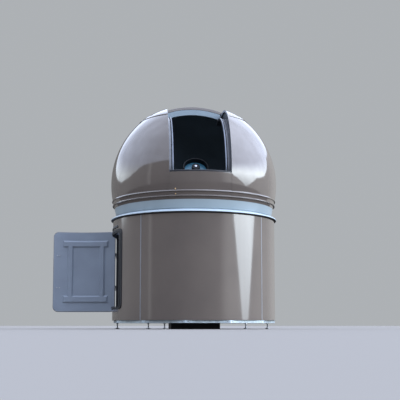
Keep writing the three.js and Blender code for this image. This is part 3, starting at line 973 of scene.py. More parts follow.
# Near-black on the downward faces of the rain lip: painted shade under the lip.
LIP_UNDERSIDE_SHADE = Finish(
    "lip_seal", (0.030, 0.027, 0.026), (0.024, 0.022, 0.021), 0.5, 0.08, grain=0.004,
)
SILL_PAINT = Finish(
    "sill_paint", (0.020, 0.021, 0.026), (0.017, 0.018, 0.022), 0.40, 0.06, grain=0.004,
)
BLACK_PAINT = Finish(
    "black_powder_paint", (0.012, 0.012, 0.013), (0.009, 0.009, 0.010), 0.42, 0.06,
    patch=0.1, grain=0.0025, depth=0.00008,
)
BRASS = Finish(
    "brass", (0.95, 0.66, 0.34), (0.85, 0.56, 0.26), 0.35, 0.06, metallic=0.6, patch=0.01,
)
# A small bright disc set high on the secondary cell: painted highlight of the sky on its glossy
# cap.
CAP_HIGHLIGHT = Finish(
    "bright_cap", (0.50, 0.51, 0.54), (0.42, 0.43, 0.46), 0.22, 0.04, metallic=1.0, patch=0.02,
)
DEW_PAINT = Finish(
    "dull_black", (0.007, 0.007, 0.008), (0.005, 0.005, 0.006), 0.75, 0.05,
    patch=0.1, grain=0.002,
)
EDGE_PAINT = Finish(
    "edge_grey", (0.400, 0.440, 0.500), (0.350, 0.390, 0.450), 0.45, 0.06, patch=0.1,
)
TRIM_PAINT = Finish(
    "trim_grey", (0.160, 0.166, 0.184), (0.140, 0.146, 0.163), 0.26, 0.05, coat=0.4, patch=0.15,
)
# Teal base colour standing in for the sky mirrored in the plate: painted reflection.
CORRECTOR_SKY_TINT = Glass("coated_glass", (0.045, 0.165, 0.245), (0.040, 0.155, 0.230), 0.35, 0.04)


def dress(
    piece: Piece,
    body: Body,
    finish: Finish,
    nodes: Iterable[str] = (),
    lining: Finish | None = None,
    inside: Test | None = None,
) -> Piece:
    """Gives a piece its finish and its body, and hides the CAD nodes that it replaces.

    Args:
        piece: the piece.
        body: the body that it rides on.
        finish: the finish of its outside.
        nodes: the CAD nodes that it replaces.
        lining: the finish of its inside, where it has one.
        inside: says of a face's middle and normal whether it is lined.

    Returns:
        The same piece.
    """
    piece.data.materials.clear()
    piece.data.materials.append(finish.material())
    if lining and inside:
        piece.data.materials.append(lining.material())
        for face in piece.data.polygons:
            face.material_index = 1 if inside(face.center, face.normal) else 0
    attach(piece, body.value)
    if nodes:
        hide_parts(*nodes)
    LOG.info("%s rides on %s, %d faces", piece.name, body.value, len(piece.data.polygons))
    return piece


def faces_axis(centre: Vector, normal: Vector) -> bool:
    """Whether a face looks towards the dome's upright axis."""
    return normal.x * centre.x + normal.y * centre.y < -0.05 * math.hypot(centre.x, centre.y)


def faces_centre(centre: Vector, normal: Vector) -> bool:
    """Whether a face looks towards the dome's centre."""
    return normal.dot(centre - Vector((0, 0, DOME_CENTRE))) < -0.3


# Sub-assemblies


@dataclass
class BaseFrame:
    """Ring of twelve flat bars on six threaded feet."""

    corner_radius: float = 1.048
    bar_width: float = 0.080
    bottom: float = 0.074
    top: float = 0.107
    first_corner: float = -10.1
    sides: int = 12
    foot_radius: float = 0.985
    first_foot: float = -25.1
    feet: int = 6
    pad_radius: float = 0.030
    rod_radius: float = 0.0085
    nut_radius: float = 0.015
    nut_height: float = 0.013
    bolt_radius: float = 0.0065
    bolt_reach: float = 0.235
    thread_start: float = 0.018
    thread_pitch: float = 0.0025
    thread_depth: float = 0.0009

    def build(self) -> None:
        """Builds the bars, the feet and the bolts."""
        self.bars()
        self.stand()
        self.bolts()

    def bars(self) -> None:
        """The ring of flat bars."""
        facet = 360 / self.sides
        inner = self.corner_radius - self.bar_width
        outline = rectangle(inner, self.corner_radius, self.bottom, self.top)
        piece = ring("base_bars", outline, self.first_corner, self.first_corner + 360, facet)
        ease(piece, 0.0025, 2, 20)
        dress(smooth(piece, 20), Body.BASE, BASE_METAL, ["base_frame"])

    def foot(self) -> Piece:
        """One foot: pad, threaded rod and hexagon nut.

        Returns:
            The foot, on the dome's axis.
        """
        nut_bottom = self.bottom - GAP - self.nut_height
        root = self.rod_radius - self.thread_depth
        thread = []
        height = self.thread_start
        while height < nut_bottom - 0.003:
            thread += [(self.rod_radius, height), (root, height + 0.0012)]
            height += self.thread_pitch
        pad = turned("foot_pad", [
            (0, 0), (self.pad_radius - 0.002, 0), (self.pad_radius, 0.002),
            (self.pad_radius, 0.0065), (self.pad_radius - 0.0015, 0.008), (0.0135, 0.0145),
            (0.0125, 0.016), (self.rod_radius, 0.016), *thread,
            (root, nut_bottom + 0.001), (0, nut_bottom + 0.001),
        ], 24)
        nut = turned("foot_nut", [
            (0, nut_bottom), (self.nut_radius - 0.002, nut_bottom),
            (self.nut_radius, nut_bottom + 0.002), (self.nut_radius, self.bottom - GAP - 0.002),
            (self.nut_radius - 0.002, self.bottom - GAP), (0, self.bottom - GAP),
        ], 6)
        return smooth(weld([pad, nut], "foot_1"), 25)

    def stand(self) -> None:
        """Six feet under the bars."""
        first = self.foot()
        for index in range(self.feet):
            spot = on_circle(self.foot_radius, self.first_foot + index * 360 / self.feet, 0)
            foot = twin(first, f"threaded_foot_{index + 1}", Matrix.Translation(spot))
            dress(foot, Body.BASE, ZINC, [f"levelling_foot_{index + 1}"])
        bpy.data.objects.remove(first)

    def bolts(self) -> None:
        """Two bolts on the face of each bar."""
        heads = []
        middle = (self.bottom + self.top) / 2
        for index in range(self.sides):
            azimuth = self.first_corner + (index + 0.5) * 360 / self.sides
            face = self.corner_radius * math.cos(math.radians(180 / self.sides))
            for shift in (-self.bolt_reach, self.bolt_reach):
                spot = on_circle(face - 0.001, azimuth, middle) + on_circle(shift, azimuth + 90, 0)
                heads.append(turned("bolt", [
                    (0, 0), (self.bolt_radius, 0), (self.bolt_radius, 0.0035),
                    (self.bolt_radius - 0.0012, 0.0045), (0, 0.0045),
                ], 6, upright_on(spot, azimuth)))
        dress(smooth(weld(heads, "base_bolts"), 25), Body.BASE, ZINC)


@dataclass
class Wall:
    """Curved wall panels with a foot flange, and the light strips over their seams."""

    thickness: float = 0.012
    bottom: float = 0.1073
    flange_radius: float = 0.980
    flange_height: float = 0.010
    seam_width: float = 0.014
    seam_proud: float = 0.0015

    def profile(self) -> Outline:
        """The panel's section, with its outer foot edge rounded."""
        inner = WALL_RADIUS - self.thickness
        step = self.bottom + self.flange_height
        return [
            (self.flange_radius, self.bottom), (WALL_RADIUS - 0.003, self.bottom),
            (WALL_RADIUS - 0.0009, self.bottom + 0.0009), (WALL_RADIUS, self.bottom + 0.003),
            (WALL_RADIUS, WALL_TOP - 0.001), (WALL_RADIUS - 0.001, WALL_TOP), (inner, WALL_TOP),
            (inner, step + 0.012), (inner - 0.004, step + 0.003), (inner - 0.012, step),
            (self.flange_radius, step),
        ]

    def build(self) -> None:
        """Builds three whole panels, the door panel and the strips."""
        edge = math.degrees((self.seam_width / 2 + GAP) / WALL_RADIUS)
        nodes = ["wall_panel_front", "wall_panel_right", "wall_panel_rear"]
        for index, node in enumerate(nodes):
            start = FIRST_SEAM + 90 * index
            name = node.replace("wall_panel", "wall_shell")
            panel = smooth(ring(name, self.profile(), start + edge, start + 90 - edge), 35)
            dress(panel, Body.BASE, GELCOAT, [node], INNER_SKIN, faces_axis)
        self.door_panel(edge)
        for index in range(4):
            self.seam(index)

    def seam(self, index: int) -> None:
        """One strip over a seam, with its foot on the panels' flange.

        Args:
            index: which seam, from the one left of the front panel.
        """
        azimuth = FIRST_SEAM + 90 * index
        half = math.degrees(self.seam_width / 2 / WALL_RADIUS)
        face, back = WALL_RADIUS + self.seam_proud, WALL_RADIUS - self.thickness - 0.002
        step = self.bottom + self.flange_height
        strip = ring(f"seam_strip_{index + 1}", [
            (self.flange_radius, self.bottom), (face, self.bottom), (face, WALL_TOP),
            (back, WALL_TOP), (back, step), (self.flange_radius, step),
        ], azimuth - half, azimuth + half, half)
        ease(strip, SKIN_EDGE, 2, 40)
        dress(strip, Body.BASE, SEAM_METAL, [f"wall_seam_strip_{index + 1}"])

    def door_panel(self, edge: float) -> None:
        """The panel with the doorway.

        Args:
            edge: half of the seam's width and gap, as an angle.
        """
        panel = ring("wall_shell_door", self.profile(), FIRST_SEAM - 90 + edge, FIRST_SEAM - edge)
        outline = round_rectangle(
            FRAME_HALF_WIDTH + GAP, FRAME_BOTTOM - GAP, FRAME_TOP + GAP, FRAME_CORNER)
        combine(panel, radial_prism("hole", outline, DOOR_AZIMUTH), Cut.AWAY)
        smooth(panel, 35)
        nodes = ["door_wall_far_side", "door_wall_near_side", "door_wall_over", "door_wall_under"]
        dress(panel, Body.BASE, GELCOAT, nodes, INNER_SKIN, faces_axis)


@dataclass
class Doorway:
    """Rubber-faced frame round the opening, its bulb seal and the drip hood."""

    inner_radius: float = 1.030
    outer_radius: float = 1.060
    seal_radius: float = 0.0035
    seal_inset: float = 0.030
    path_step: float = 0.05
    opening_half_width: float = 0.376
    opening_bottom: float = 0.270
    opening_top: float = 1.200
    opening_corner: float = 0.035
    hood_half_angle: float = 17.6
    hood_bottom: float = 1.266
    hood_top: float = 1.300
    hood_facet: float = 2.2

    def build(self) -> None:
        """Builds the frame, the seal and the hood."""
        self.frame_ring()
        self.seal()
        self.hood()

    def frame_ring(self) -> None:
        """The frame in the door panel."""
        piece = ring("doorway_frame", rectangle(
            self.inner_radius, self.outer_radius, FRAME_BOTTOM - 0.005, FRAME_TOP + 0.005,
        ), DOOR_AZIMUTH - BLANK_ANGLE, DOOR_AZIMUTH + BLANK_ANGLE)
        outside = round_rectangle(FRAME_HALF_WIDTH, FRAME_BOTTOM, FRAME_TOP, FRAME_CORNER)
        combine(piece, radial_prism("outside", outside, DOOR_AZIMUTH), Cut.WITHIN)
        opening = round_rectangle(
            self.opening_half_width, self.opening_bottom, self.opening_top, self.opening_corner)
        combine(piece, radial_prism("opening", opening, DOOR_AZIMUTH), Cut.AWAY)
        dress(ease(piece, 0.004, 3, SKIN_SHARP), Body.BASE, RUBBER, ["door_frame"])

    def path(self, radius: float, inset: float) -> list[Vector]:
        """A path round the frame's face.

        Args:
            radius: its distance from the dome's axis.
            inset: its distance from the frame's outer edge.

        Returns:
            The points of the path.
        """
        outline = round_rectangle(
            FRAME_HALF_WIDTH - inset, FRAME_BOTTOM + inset, FRAME_TOP - inset,
            FRAME_CORNER - inset / 2)
        points = []
        for index, (x, z) in enumerate(outline):
            after_x, after_z = outline[(index + 1) % len(outline)]
            steps = max(1, round(math.hypot(after_x - x, after_z - z) / self.path_step))
            for step in range(steps):
                across = x + (after_x - x) * step / steps
                azimuth = DOOR_AZIMUTH + math.degrees(math.asin(across / radius))
                points.append(on_circle(radius, azimuth, z + (after_z - z) * step / steps))
        return points

    def seal(self) -> None:
        """The bulb seal that the closed leaf meets."""
        path = self.path(self.outer_radius + 0.0015, self.seal_inset)
        bulb = tube_along("doorway_seal", path, self.seal_radius)
        dress(bulb, Body.BASE, RUBBER)

    def hood(self) -> None:
        """The drip hood over the doorway."""
        low, high, reach = self.hood_bottom, self.hood_top, self.hood_half_angle
        piece = ring("doorway_drip_hood", [
            (WALL_RADIUS + GAP, low + 0.006), (WALL_RADIUS + 0.0075, low),
            (WALL_RADIUS + 0.009, low + 0.0015), (WALL_RADIUS + 0.009, low + 0.012),
            (WALL_RADIUS + 0.006, low + 0.022), (WALL_RADIUS + GAP, high),
        ], DOOR_AZIMUTH - reach, DOOR_AZIMUTH + reach, self.hood_facet)
        dress(smooth(piece, 40), Body.BASE, RUBBER, ["door_drip_hood"])


def swung(piece: Piece) -> Piece:
    """Swings a piece that was built on the closed door to the open door's place.

    Args:
        piece: the piece.

    Returns:
        The same piece.
    """
    hinge = on_circle(HINGE_RADIUS, HINGE_AZIMUTH, 0)
    turn = Matrix.Rotation(math.radians(-DOOR_OPEN), 4, "Z")
    return settle(piece, Matrix.Translation(hinge) @ turn @ Matrix.Translation(-hinge))


@dataclass
class Door:
    """Curved leaf of two skins with a raised frame inside, on two hinges."""

    start: float = DOOR_AZIMUTH - 24.1
    end: float = DOOR_AZIMUTH + 21.8
    inner_radius: float = 1.066
    outer_radius: float = 1.094
    split_radius: float = 1.080
    bottom: float = 0.224
    top: float = 1.299
    corner: float = 0.068
    rib_height: float = 0.018
    rib_slope: float = 0.020
    rib_facet: float = 1.5
    rib_bars: tuple[tuple[float, float, float, float], ...] = (
        (5.4, 38.9, 1.089, 1.184),
        (5.4, 38.9, 0.342, 0.444),
        (8.0, 12.4, 0.400, 1.140),
        (31.3, 35.8, 0.400, 1.140),
    )
    hinge_heights: tuple[float, float] = (0.505, 0.940)
    knuckle_radius: float = 0.009
    knuckle_height: float = 0.034
    knuckle_gap: float = 0.0004
    bracket_back: float = 1.0603
    bracket_angles: tuple[float, float] = (-0.5, 0.1)
    strap_half: float = 0.005
    strap_lap: float = 0.35
    latch_heights: tuple[float, float] = (0.977, 0.547)
    latch_insets: tuple[float, float] = (0.051, 0.083)

    @property
    def middle(self) -> float:
        """Azimuth of the closed leaf's middle."""
        return (self.start + self.end) / 2

    @property
    def half_width(self) -> float:
        """Half of the leaf's width across."""
        return self.inner_radius * math.sin(math.radians((self.end - self.start) / 2))

    def build(self) -> None:
        """Builds the skins, the ribs, the hinges and the latch."""
        self.skins()
        self.ribs()
        self.hinges()
        self.latch()

    def plate(self, name: str, inner: float, outer: float, inset: float) -> Piece:
        """A curved plate with round corners.

        Args:
            name: its name.
            inner: its inner radius.
            outer: its outer radius.
            inset: how far its edge lies within the leaf's.

        Returns:
            The plate, on the closed door.
        """
        piece = ring(
            name, rectangle(inner, outer, self.bottom - 0.01, self.top + 0.01),
            self.middle - BLANK_ANGLE, self.middle + BLANK_ANGLE)
        outline = round_rectangle(
            self.half_width - inset, self.bottom + inset, self.top - inset,
            self.corner - inset / 2, 10)
        return combine(piece, radial_prism("outline", outline, self.middle), Cut.WITHIN)

    def skins(self) -> None:
        """The outer skin and the inner skin with its rounded rim."""
        outer = self.plate("door_outer_skin", self.split_radius + GAP, self.outer_radius, 0)
        ease(outer, 0.004, 3, SKIN_SHARP)
        dress(swung(outer), Body.DOOR, GELCOAT, ["door_leaf"])
        inner = self.plate("door_inner_skin", self.inner_radius, self.split_radius, 0.005)
        ease(inner, 0.006, 4, SKIN_SHARP)
        dress(swung(inner), Body.DOOR, INNER_SKIN, ["door_leaf"])

    def ribs(self) -> None:
        """The raised frame moulded into the inner skin."""
        outer = self.inner_radius + 0.0005
        inner = self.inner_radius - GAP - self.rib_height
        lean = math.degrees(self.rib_slope / inner)
        bars = []
        for index, (a, b, low, high) in enumerate(self.rib_bars):
            rise = self.rib_slope if index < 2 else 0.0
            first, last = self.start + a, self.start + b
            bar = ring(f"bar_{index}", [
                (inner, low + rise), (outer, low), (outer, high), (inner, high - rise),
            ], first, last, self.rib_facet)
            for azimuth, turn in ((first, 1), (last, -1)):
                foot = on_circle(outer, azimuth, 0)
                head = on_circle(inner, azimuth + turn * lean, 0)
                trim(bar, foot, (head - foot).cross(UP) * -turn)
            bars.append(bar)
        piece = bars[0]
        for bar in bars[1:]:
            combine(piece, bar, Cut.JOINED)
        piece.name = piece.data.name = "door_rib_frame"
        smooth(mend(piece), 28)
        nodes = ["door_rib_top", "door_rib_bottom", "door_rib_hinge_side", "door_rib_free_side"]
        dress(swung(piece), Body.DOOR, INNER_SKIN, nodes)

    def knuckle(self, name: str, bottom: float) -> Piece:
        """A knuckle with a chamfer at both ends.

        Args:
            name: its name.
            bottom: its lower end.

        Returns:
            The knuckle, on the hinge's axis.
        """
        radius, top = self.knuckle_radius, bottom + self.knuckle_height
        body = turned(name, [
            (0, bottom), (radius - 0.001, bottom), (radius, bottom + 0.001),
            (radius, top - 0.001), (radius - 0.001, top), (0, top),
        ], 24)
        return settle(body, Matrix.Translation(on_circle(HINGE_RADIUS, HINGE_AZIMUTH, 0)))

    def hinges(self) -> None:
        """Two hinges: a knuckle and bracket on the frame, a knuckle and strap on the leaf."""
        first, last = (HINGE_AZIMUTH + angle for angle in self.bracket_angles)
        for word, height in zip(("lower", "upper"), self.hinge_heights):
            bracket = ring("bracket", rectangle(
                self.bracket_back, HINGE_RADIUS - 0.003, height, height + self.knuckle_height,
            ), first, last, 1)
            knuckle = self.knuckle("fixed", height)
            fixed = weld([knuckle, ease(bracket, THIN_EDGE)], f"hinge_{word}_on_frame")
            dress(smooth(fixed, 30), Body.BASE, ZINC, [f"hinge_{word}_frame"])
            bottom = height + self.knuckle_height + self.knuckle_gap
            strap = ring("strap", rectangle(
                HINGE_RADIUS - self.strap_half, HINGE_RADIUS + self.strap_half,
                bottom, bottom + self.knuckle_height,
            ), HINGE_AZIMUTH, self.start + self.strap_lap, 1)
            knuckle = self.knuckle("swing", bottom)
            swing = weld([knuckle, ease(strap, THIN_EDGE)], f"hinge_{word}_on_leaf")
            dress(swung(smooth(swing, 30)), Body.DOOR, ZINC, [f"hinge_{word}_leaf"])

    def latch(self) -> None:
        """Screws of the latch at the leaf's free side."""
        heads = []
        for height in self.latch_heights:
            for inset in self.latch_insets:
                across = math.asin((self.half_width - inset) / self.inner_radius)
                azimuth = self.middle + math.degrees(across)
                spot = on_circle(self.inner_radius + GAP, azimuth, height)
                heads.append(turned("screw", [
                    (0, 0), (0.0075, 0), (0.0072, 0.002),
                    (0.0055, 0.0036), (0.003, 0.0044), (0, 0.0047),
                ], 16, upright_on(spot, azimuth, -90)))
        dress(swung(smooth(weld(heads, "door_latch_screws"), 50)), Body.DOOR, ZINC)


@dataclass
class Rings:
    """The wall-top ring with its rain lip, and the conical ring that turns on it."""

    inner: float = 0.984
    bottom: float = 1.3753
    lip_radius: float = 1.077
    lip_low: float = 1.390
    lip_high: float = 1.402
    top: float = 1.431
    shoulder: float = 1.008
    cone_bottom: float = 1.437
    cone_foot: float = 1.008
    cone_head: float = 1.031
    cone_inner: float = 0.976
    bearing: tuple[float, float] = (0.988, 0.998)

    def build(self) -> None:
        """Builds both rings."""
        nose, low, high = self.lip_radius, self.lip_low, self.lip_high
        lip = ring("wall_ring_with_lip", [
            (self.inner, self.bottom), (WALL_RADIUS + 0.002, self.bottom),
            (nose - 0.0035, low - 0.0002), (nose - 0.0010, low + 0.0020), (nose, low + 0.0050),
            (nose - 0.0003, high - 0.0030), (nose - 0.0020, high + 0.0010),
            (nose - 0.0055, high + 0.0050), (nose - 0.0120, high + 0.0097),
            (self.shoulder, self.top), (self.inner, self.top),
        ], FIRST_SEAM, FIRST_SEAM + 360)
        # The lip's downward faces take the near-black finish, a painted shade under the lip.
        dress(smooth(lip, 40), Body.BASE, LIP_PAINT, ["wall_top_ring"], LIP_UNDERSIDE_SHADE,
              lambda middle, normal: normal.z < -0.35 and middle.z < low + 0.002)
        foot = self.top + GAP
        low, high = self.bearing
        head = DOME_FOOT - GAP
        cone = ring("turning_ring", [
            (self.cone_inner, self.cone_bottom), (low, self.cone_bottom), (low, foot), (high, foot),
            (high, self.cone_bottom), (self.cone_foot - 0.002, self.cone_bottom),
            (self.cone_foot, self.cone_bottom + 0.002),
            (self.cone_head, head), (self.cone_inner, head),
        ])
        dress(smooth(cone, 35), Body.DOME, RING_PAINT, ["dome_ring"])


@dataclass
class DomeShell:
    """Four shell quarters, the apron under the slit and the cap in two halves."""

    ridges: Table = ((1.582, 1.060), (1.640, 1.067))
    steps: int = 34
    cap_edge: float = 0.686
    cap_steps: int = 26
    cap_sides: int = 120
    notch_front: float = -1.5
    notch_heights: tuple[float, float] = (2.0, 3.2)
    flange_depth: float = 0.024
    flange_width: float = 0.007
    band_width: float = 0.024
    band_proud: float = 0.002
    seam_radius: float = 0.5
    pin_azimuth: float = -16.6
    pin_heights: tuple[float, float] = (1.663, 1.603)

    def ridge(self, height: float, reach: float) -> Outline:
        """The section of one moulded ridge.

        Args:
            height: height of its edge.
            reach: radius of its edge.

        Returns:
            Its points from below upwards.
        """
        return [
            (sphere_radius(height - 0.007), height - 0.007),
            (reach - 0.0035, height - 0.0066), (reach - 0.0012, height - 0.0055),
            (reach, height - 0.0030), (reach - 0.0003, height), (reach - 0.0018, height + 0.0028),
            (sphere_radius(height + 0.012) + 0.0006, height + 0.0105),
            (sphere_radius(height + 0.016), height + 0.016),
        ]

    def arc(self, radius: float, low: float, high: float, steps: int) -> Outline:
        """An upright arc of the sphere.

        Args:
            radius: the sphere's radius.
            low: height where it starts.
            high: height where it ends.
            steps: how many facets.

        Returns:
            Its points from below upwards.
        """
        start = math.asin((low - DOME_CENTRE) / radius)
        end = math.asin((high - DOME_CENTRE) / radius)
        turns = [start + (end - start) * index / steps for index in range(steps + 1)]
        return [(radius * math.cos(turn), DOME_CENTRE + radius * math.sin(turn)) for turn in turns]

    def profile(self) -> Outline:
        """The shell's closed section with its two ridges."""
        outer = [(sphere_radius(DOME_FOOT), DOME_FOOT)]
        for height, reach in self.ridges:
            outer += self.ridge(height, reach)
        outer += self.arc(DOME_RADIUS, self.ridges[-1][0] + 0.024, CAP_RIM, self.steps)
        inner = self.arc(DOME_RADIUS - SHELL_THICKNESS, DOME_FOOT, CAP_RIM, self.steps)
        return outer + inner[::-1]

    def build(self) -> None:
        """Builds the quarters, the apron and the cap."""
        gap = math.degrees(GAP / 2 / self.seam_radius)
        for name, start in (("rear_right", 90), ("rear_left", 180)):
            shell = ring(f"shell_{name}", self.profile(), start + gap, start + 90 - gap)
            self.cover(ease(shell, SKIN_EDGE, 2, SKIN_SHARP), [f"dome_shell_{name}"])
        for name, start, side in (("front_right", 0, Side.RIGHT), ("front_left", 270, Side.LEFT)):
            shell = ring(f"shell_{name}", self.profile(), start + gap, start + 90 - gap)
            trim(shell, (side.value * SLIT_EDGE, 0, 0), (-side.value, 0, 0))
            ease(shell, SKIN_EDGE, 2, SKIN_SHARP)
            section = self.layer(-self.flange_depth, -SHELL_THICKNESS + 0.001, SILL_BOTTOM)
            layer = ring("flange", section, start, start + 90)
            flange = self.edging(layer, side, self.flange_width)
            shell = weld([shell, ease(flange, THIN_EDGE)], f"shell_{name}")
            self.cover(shell, [f"dome_shell_{name}"])
            self.band(side, start)
        apron = ring("shell_apron", self.profile(), -APRON_ANGLE, APRON_ANGLE)
        narrow(apron, SLIT_EDGE - GAP)
        trim(apron, (0, 0, SILL_BOTTOM - GAP), (0, 0, 1))
        self.cover(ease(apron, SKIN_EDGE, 2, SKIN_SHARP), ["dome_apron"])
        self.cap()
        self.pins()

    def layer(self, low: float, high: float, foot: float) -> Outline:
        """The section of a layer of the sphere up to the cap's rim.

        Args:
            low: its inner face's distance outside the shell's skin.
            high: its outer face's distance outside the shell's skin.
            foot: height where it starts.

        Returns:
            Its closed outline.
        """
        inner = self.arc(DOME_RADIUS + low, foot, CAP_RIM - GAP, self.steps)
        return self.arc(DOME_RADIUS + high, foot, CAP_RIM - GAP, self.steps) + inner[::-1]

    def edging(self, strip: Piece, side: Side, width: float) -> Piece:
        """Cuts a strip that follows the slit's edge out of a layer.

        Args:
            strip: the layer.
            side: the slit's side.
            width: the strip's width.

        Returns:
            The strip.
        """
        trim(strip, (side.value * (SLIT_EDGE + GAP), 0, 0), (-side.value, 0, 0))
        trim(strip, (side.value * (SLIT_EDGE + width), 0, 0), (side.value, 0, 0))
        return trim(strip, (0, SLIT_REAR, 0), (0, 1, 0))

    def band(self, side: Side, start: float) -> None:
        """The raised band on the shell along the slit and the apron.

        Args:
            side: the slit's side.
            start: azimuth where its quarter starts.
        """
        section = self.layer(-0.003, self.band_proud, DOME_FOOT + 0.001)
        layer = ring(f"slit_border_{side.word}", section, start, start + 90)
        strip = self.edging(layer, side, self.band_width)
        dress(ease(strip, SKIN_EDGE, 2, SKIN_SHARP), Body.DOME, GELCOAT)

    def cover(self, shell: Piece, nodes: list[str], edge: Side | None = None) -> None:
        """Dresses a shell in gelcoat with a dark lining, whose darkness is painted shade inside the
        dome.

        Args:
            shell: the shell.
            nodes: what it replaces.
            edge: the slit's side where its cut edge is bare grey, where it is.
        """
        dress(shell, Body.DOME, GELCOAT, nodes, SHADED_LINING, faces_centre)
        if edge:
            shell.data.materials.append(EDGE_PAINT.material())
            for face in shell.data.polygons:
                on_cut = abs(abs(face.center.x) - SLIT_EDGE) < 0.003
                if on_cut and face.normal.x * edge.value < -0.9:
                    face.material_index = 2

    def cap_profile(self, drop: float = 0.0, thickness: float = SHELL_THICKNESS) -> Outline:
        """The cap's open section from the axis over its rim and back.

        Args:
            drop: how far its outside lies within the cap's skin.
            thickness: how far its inside lies within the cap's skin.

        Returns:
            Its points.
        """
        centre = CAP_TOP - CAP_CURVE
        rim_outer = sphere_radius(CAP_RIM) + 0.003 - drop
        rim_inner = sphere_radius(CAP_RIM, DOME_RADIUS - SHELL_THICKNESS) + 0.001
        outer_curve, inner_curve = CAP_CURVE - drop, CAP_CURVE - thickness
        count = self.cap_steps
        outer = [self.cap_edge * index / count for index in range(count + 1)]
        inner = [(self.cap_edge - 0.004) * index / count for index in range(count + 1)]
        crown = [(r, centre + math.sqrt(outer_curve**2 - r**2)) for r in outer]
        under = [(r, centre + math.sqrt(inner_curve**2 - r**2)) for r in inner]
        low = CAP_RIM + GAP + drop / 4
        rim = [
            (self.cap_edge + 0.012 - drop, crown[-1][1] - 0.0075),
            (rim_outer - 0.003, CAP_RIM + 0.011 - drop / 2),
            (rim_outer, CAP_RIM + 0.008 - drop / 2), (rim_outer, low + 0.001),
            (rim_outer - 0.001, low), (rim_inner, low),
        ]
        return crown + rim + under[::-1]

    def cap(self) -> None:
        """The flatter cap with its stepped rim and the flange along the slit's cut."""
        low, high = self.notch_heights
        for side in Side:
            half = turned("half", self.cap_profile(), self.cap_sides)
            trim(half, (side.value * GAP / 2, 0, 0), (-side.value, 0, 0))
            corner = (-SLIT_EDGE, self.notch_front, low)
            notch = block("notch", corner, (SLIT_EDGE, SLIT_REAR, high))
            ease(combine(half, notch, Cut.AWAY), SKIN_EDGE, 2, SKIN_SHARP)
            section = self.cap_profile(0.003, self.flange_depth)
            layer = turned("flange", section, self.cap_sides)
            flange = self.edging(layer, side, self.flange_width)
            half = weld([half, ease(flange, THIN_EDGE)], f"cap_{side.word}_half")
            self.cover(half, [f"dome_cap_{side.word}"], side)

    def pins(self) -> None:
        """Two small brass pins on the ridges at the left of the apron."""
        heads = []
        for height in self.pin_heights:
            spot = on_circle(sphere_radius(height) - 0.001, self.pin_azimuth, height)
            heads.append(turned("pin", [
                (0, 0), (0.0075, 0), (0.0075, 0.003),
                (0.0060, 0.0058), (0.003, 0.0072), (0, 0.0075),
            ], 16, upright_on(spot, self.pin_azimuth)))
        dress(smooth(weld(heads, "brass_pins"), 40), Body.DOME, BRASS)


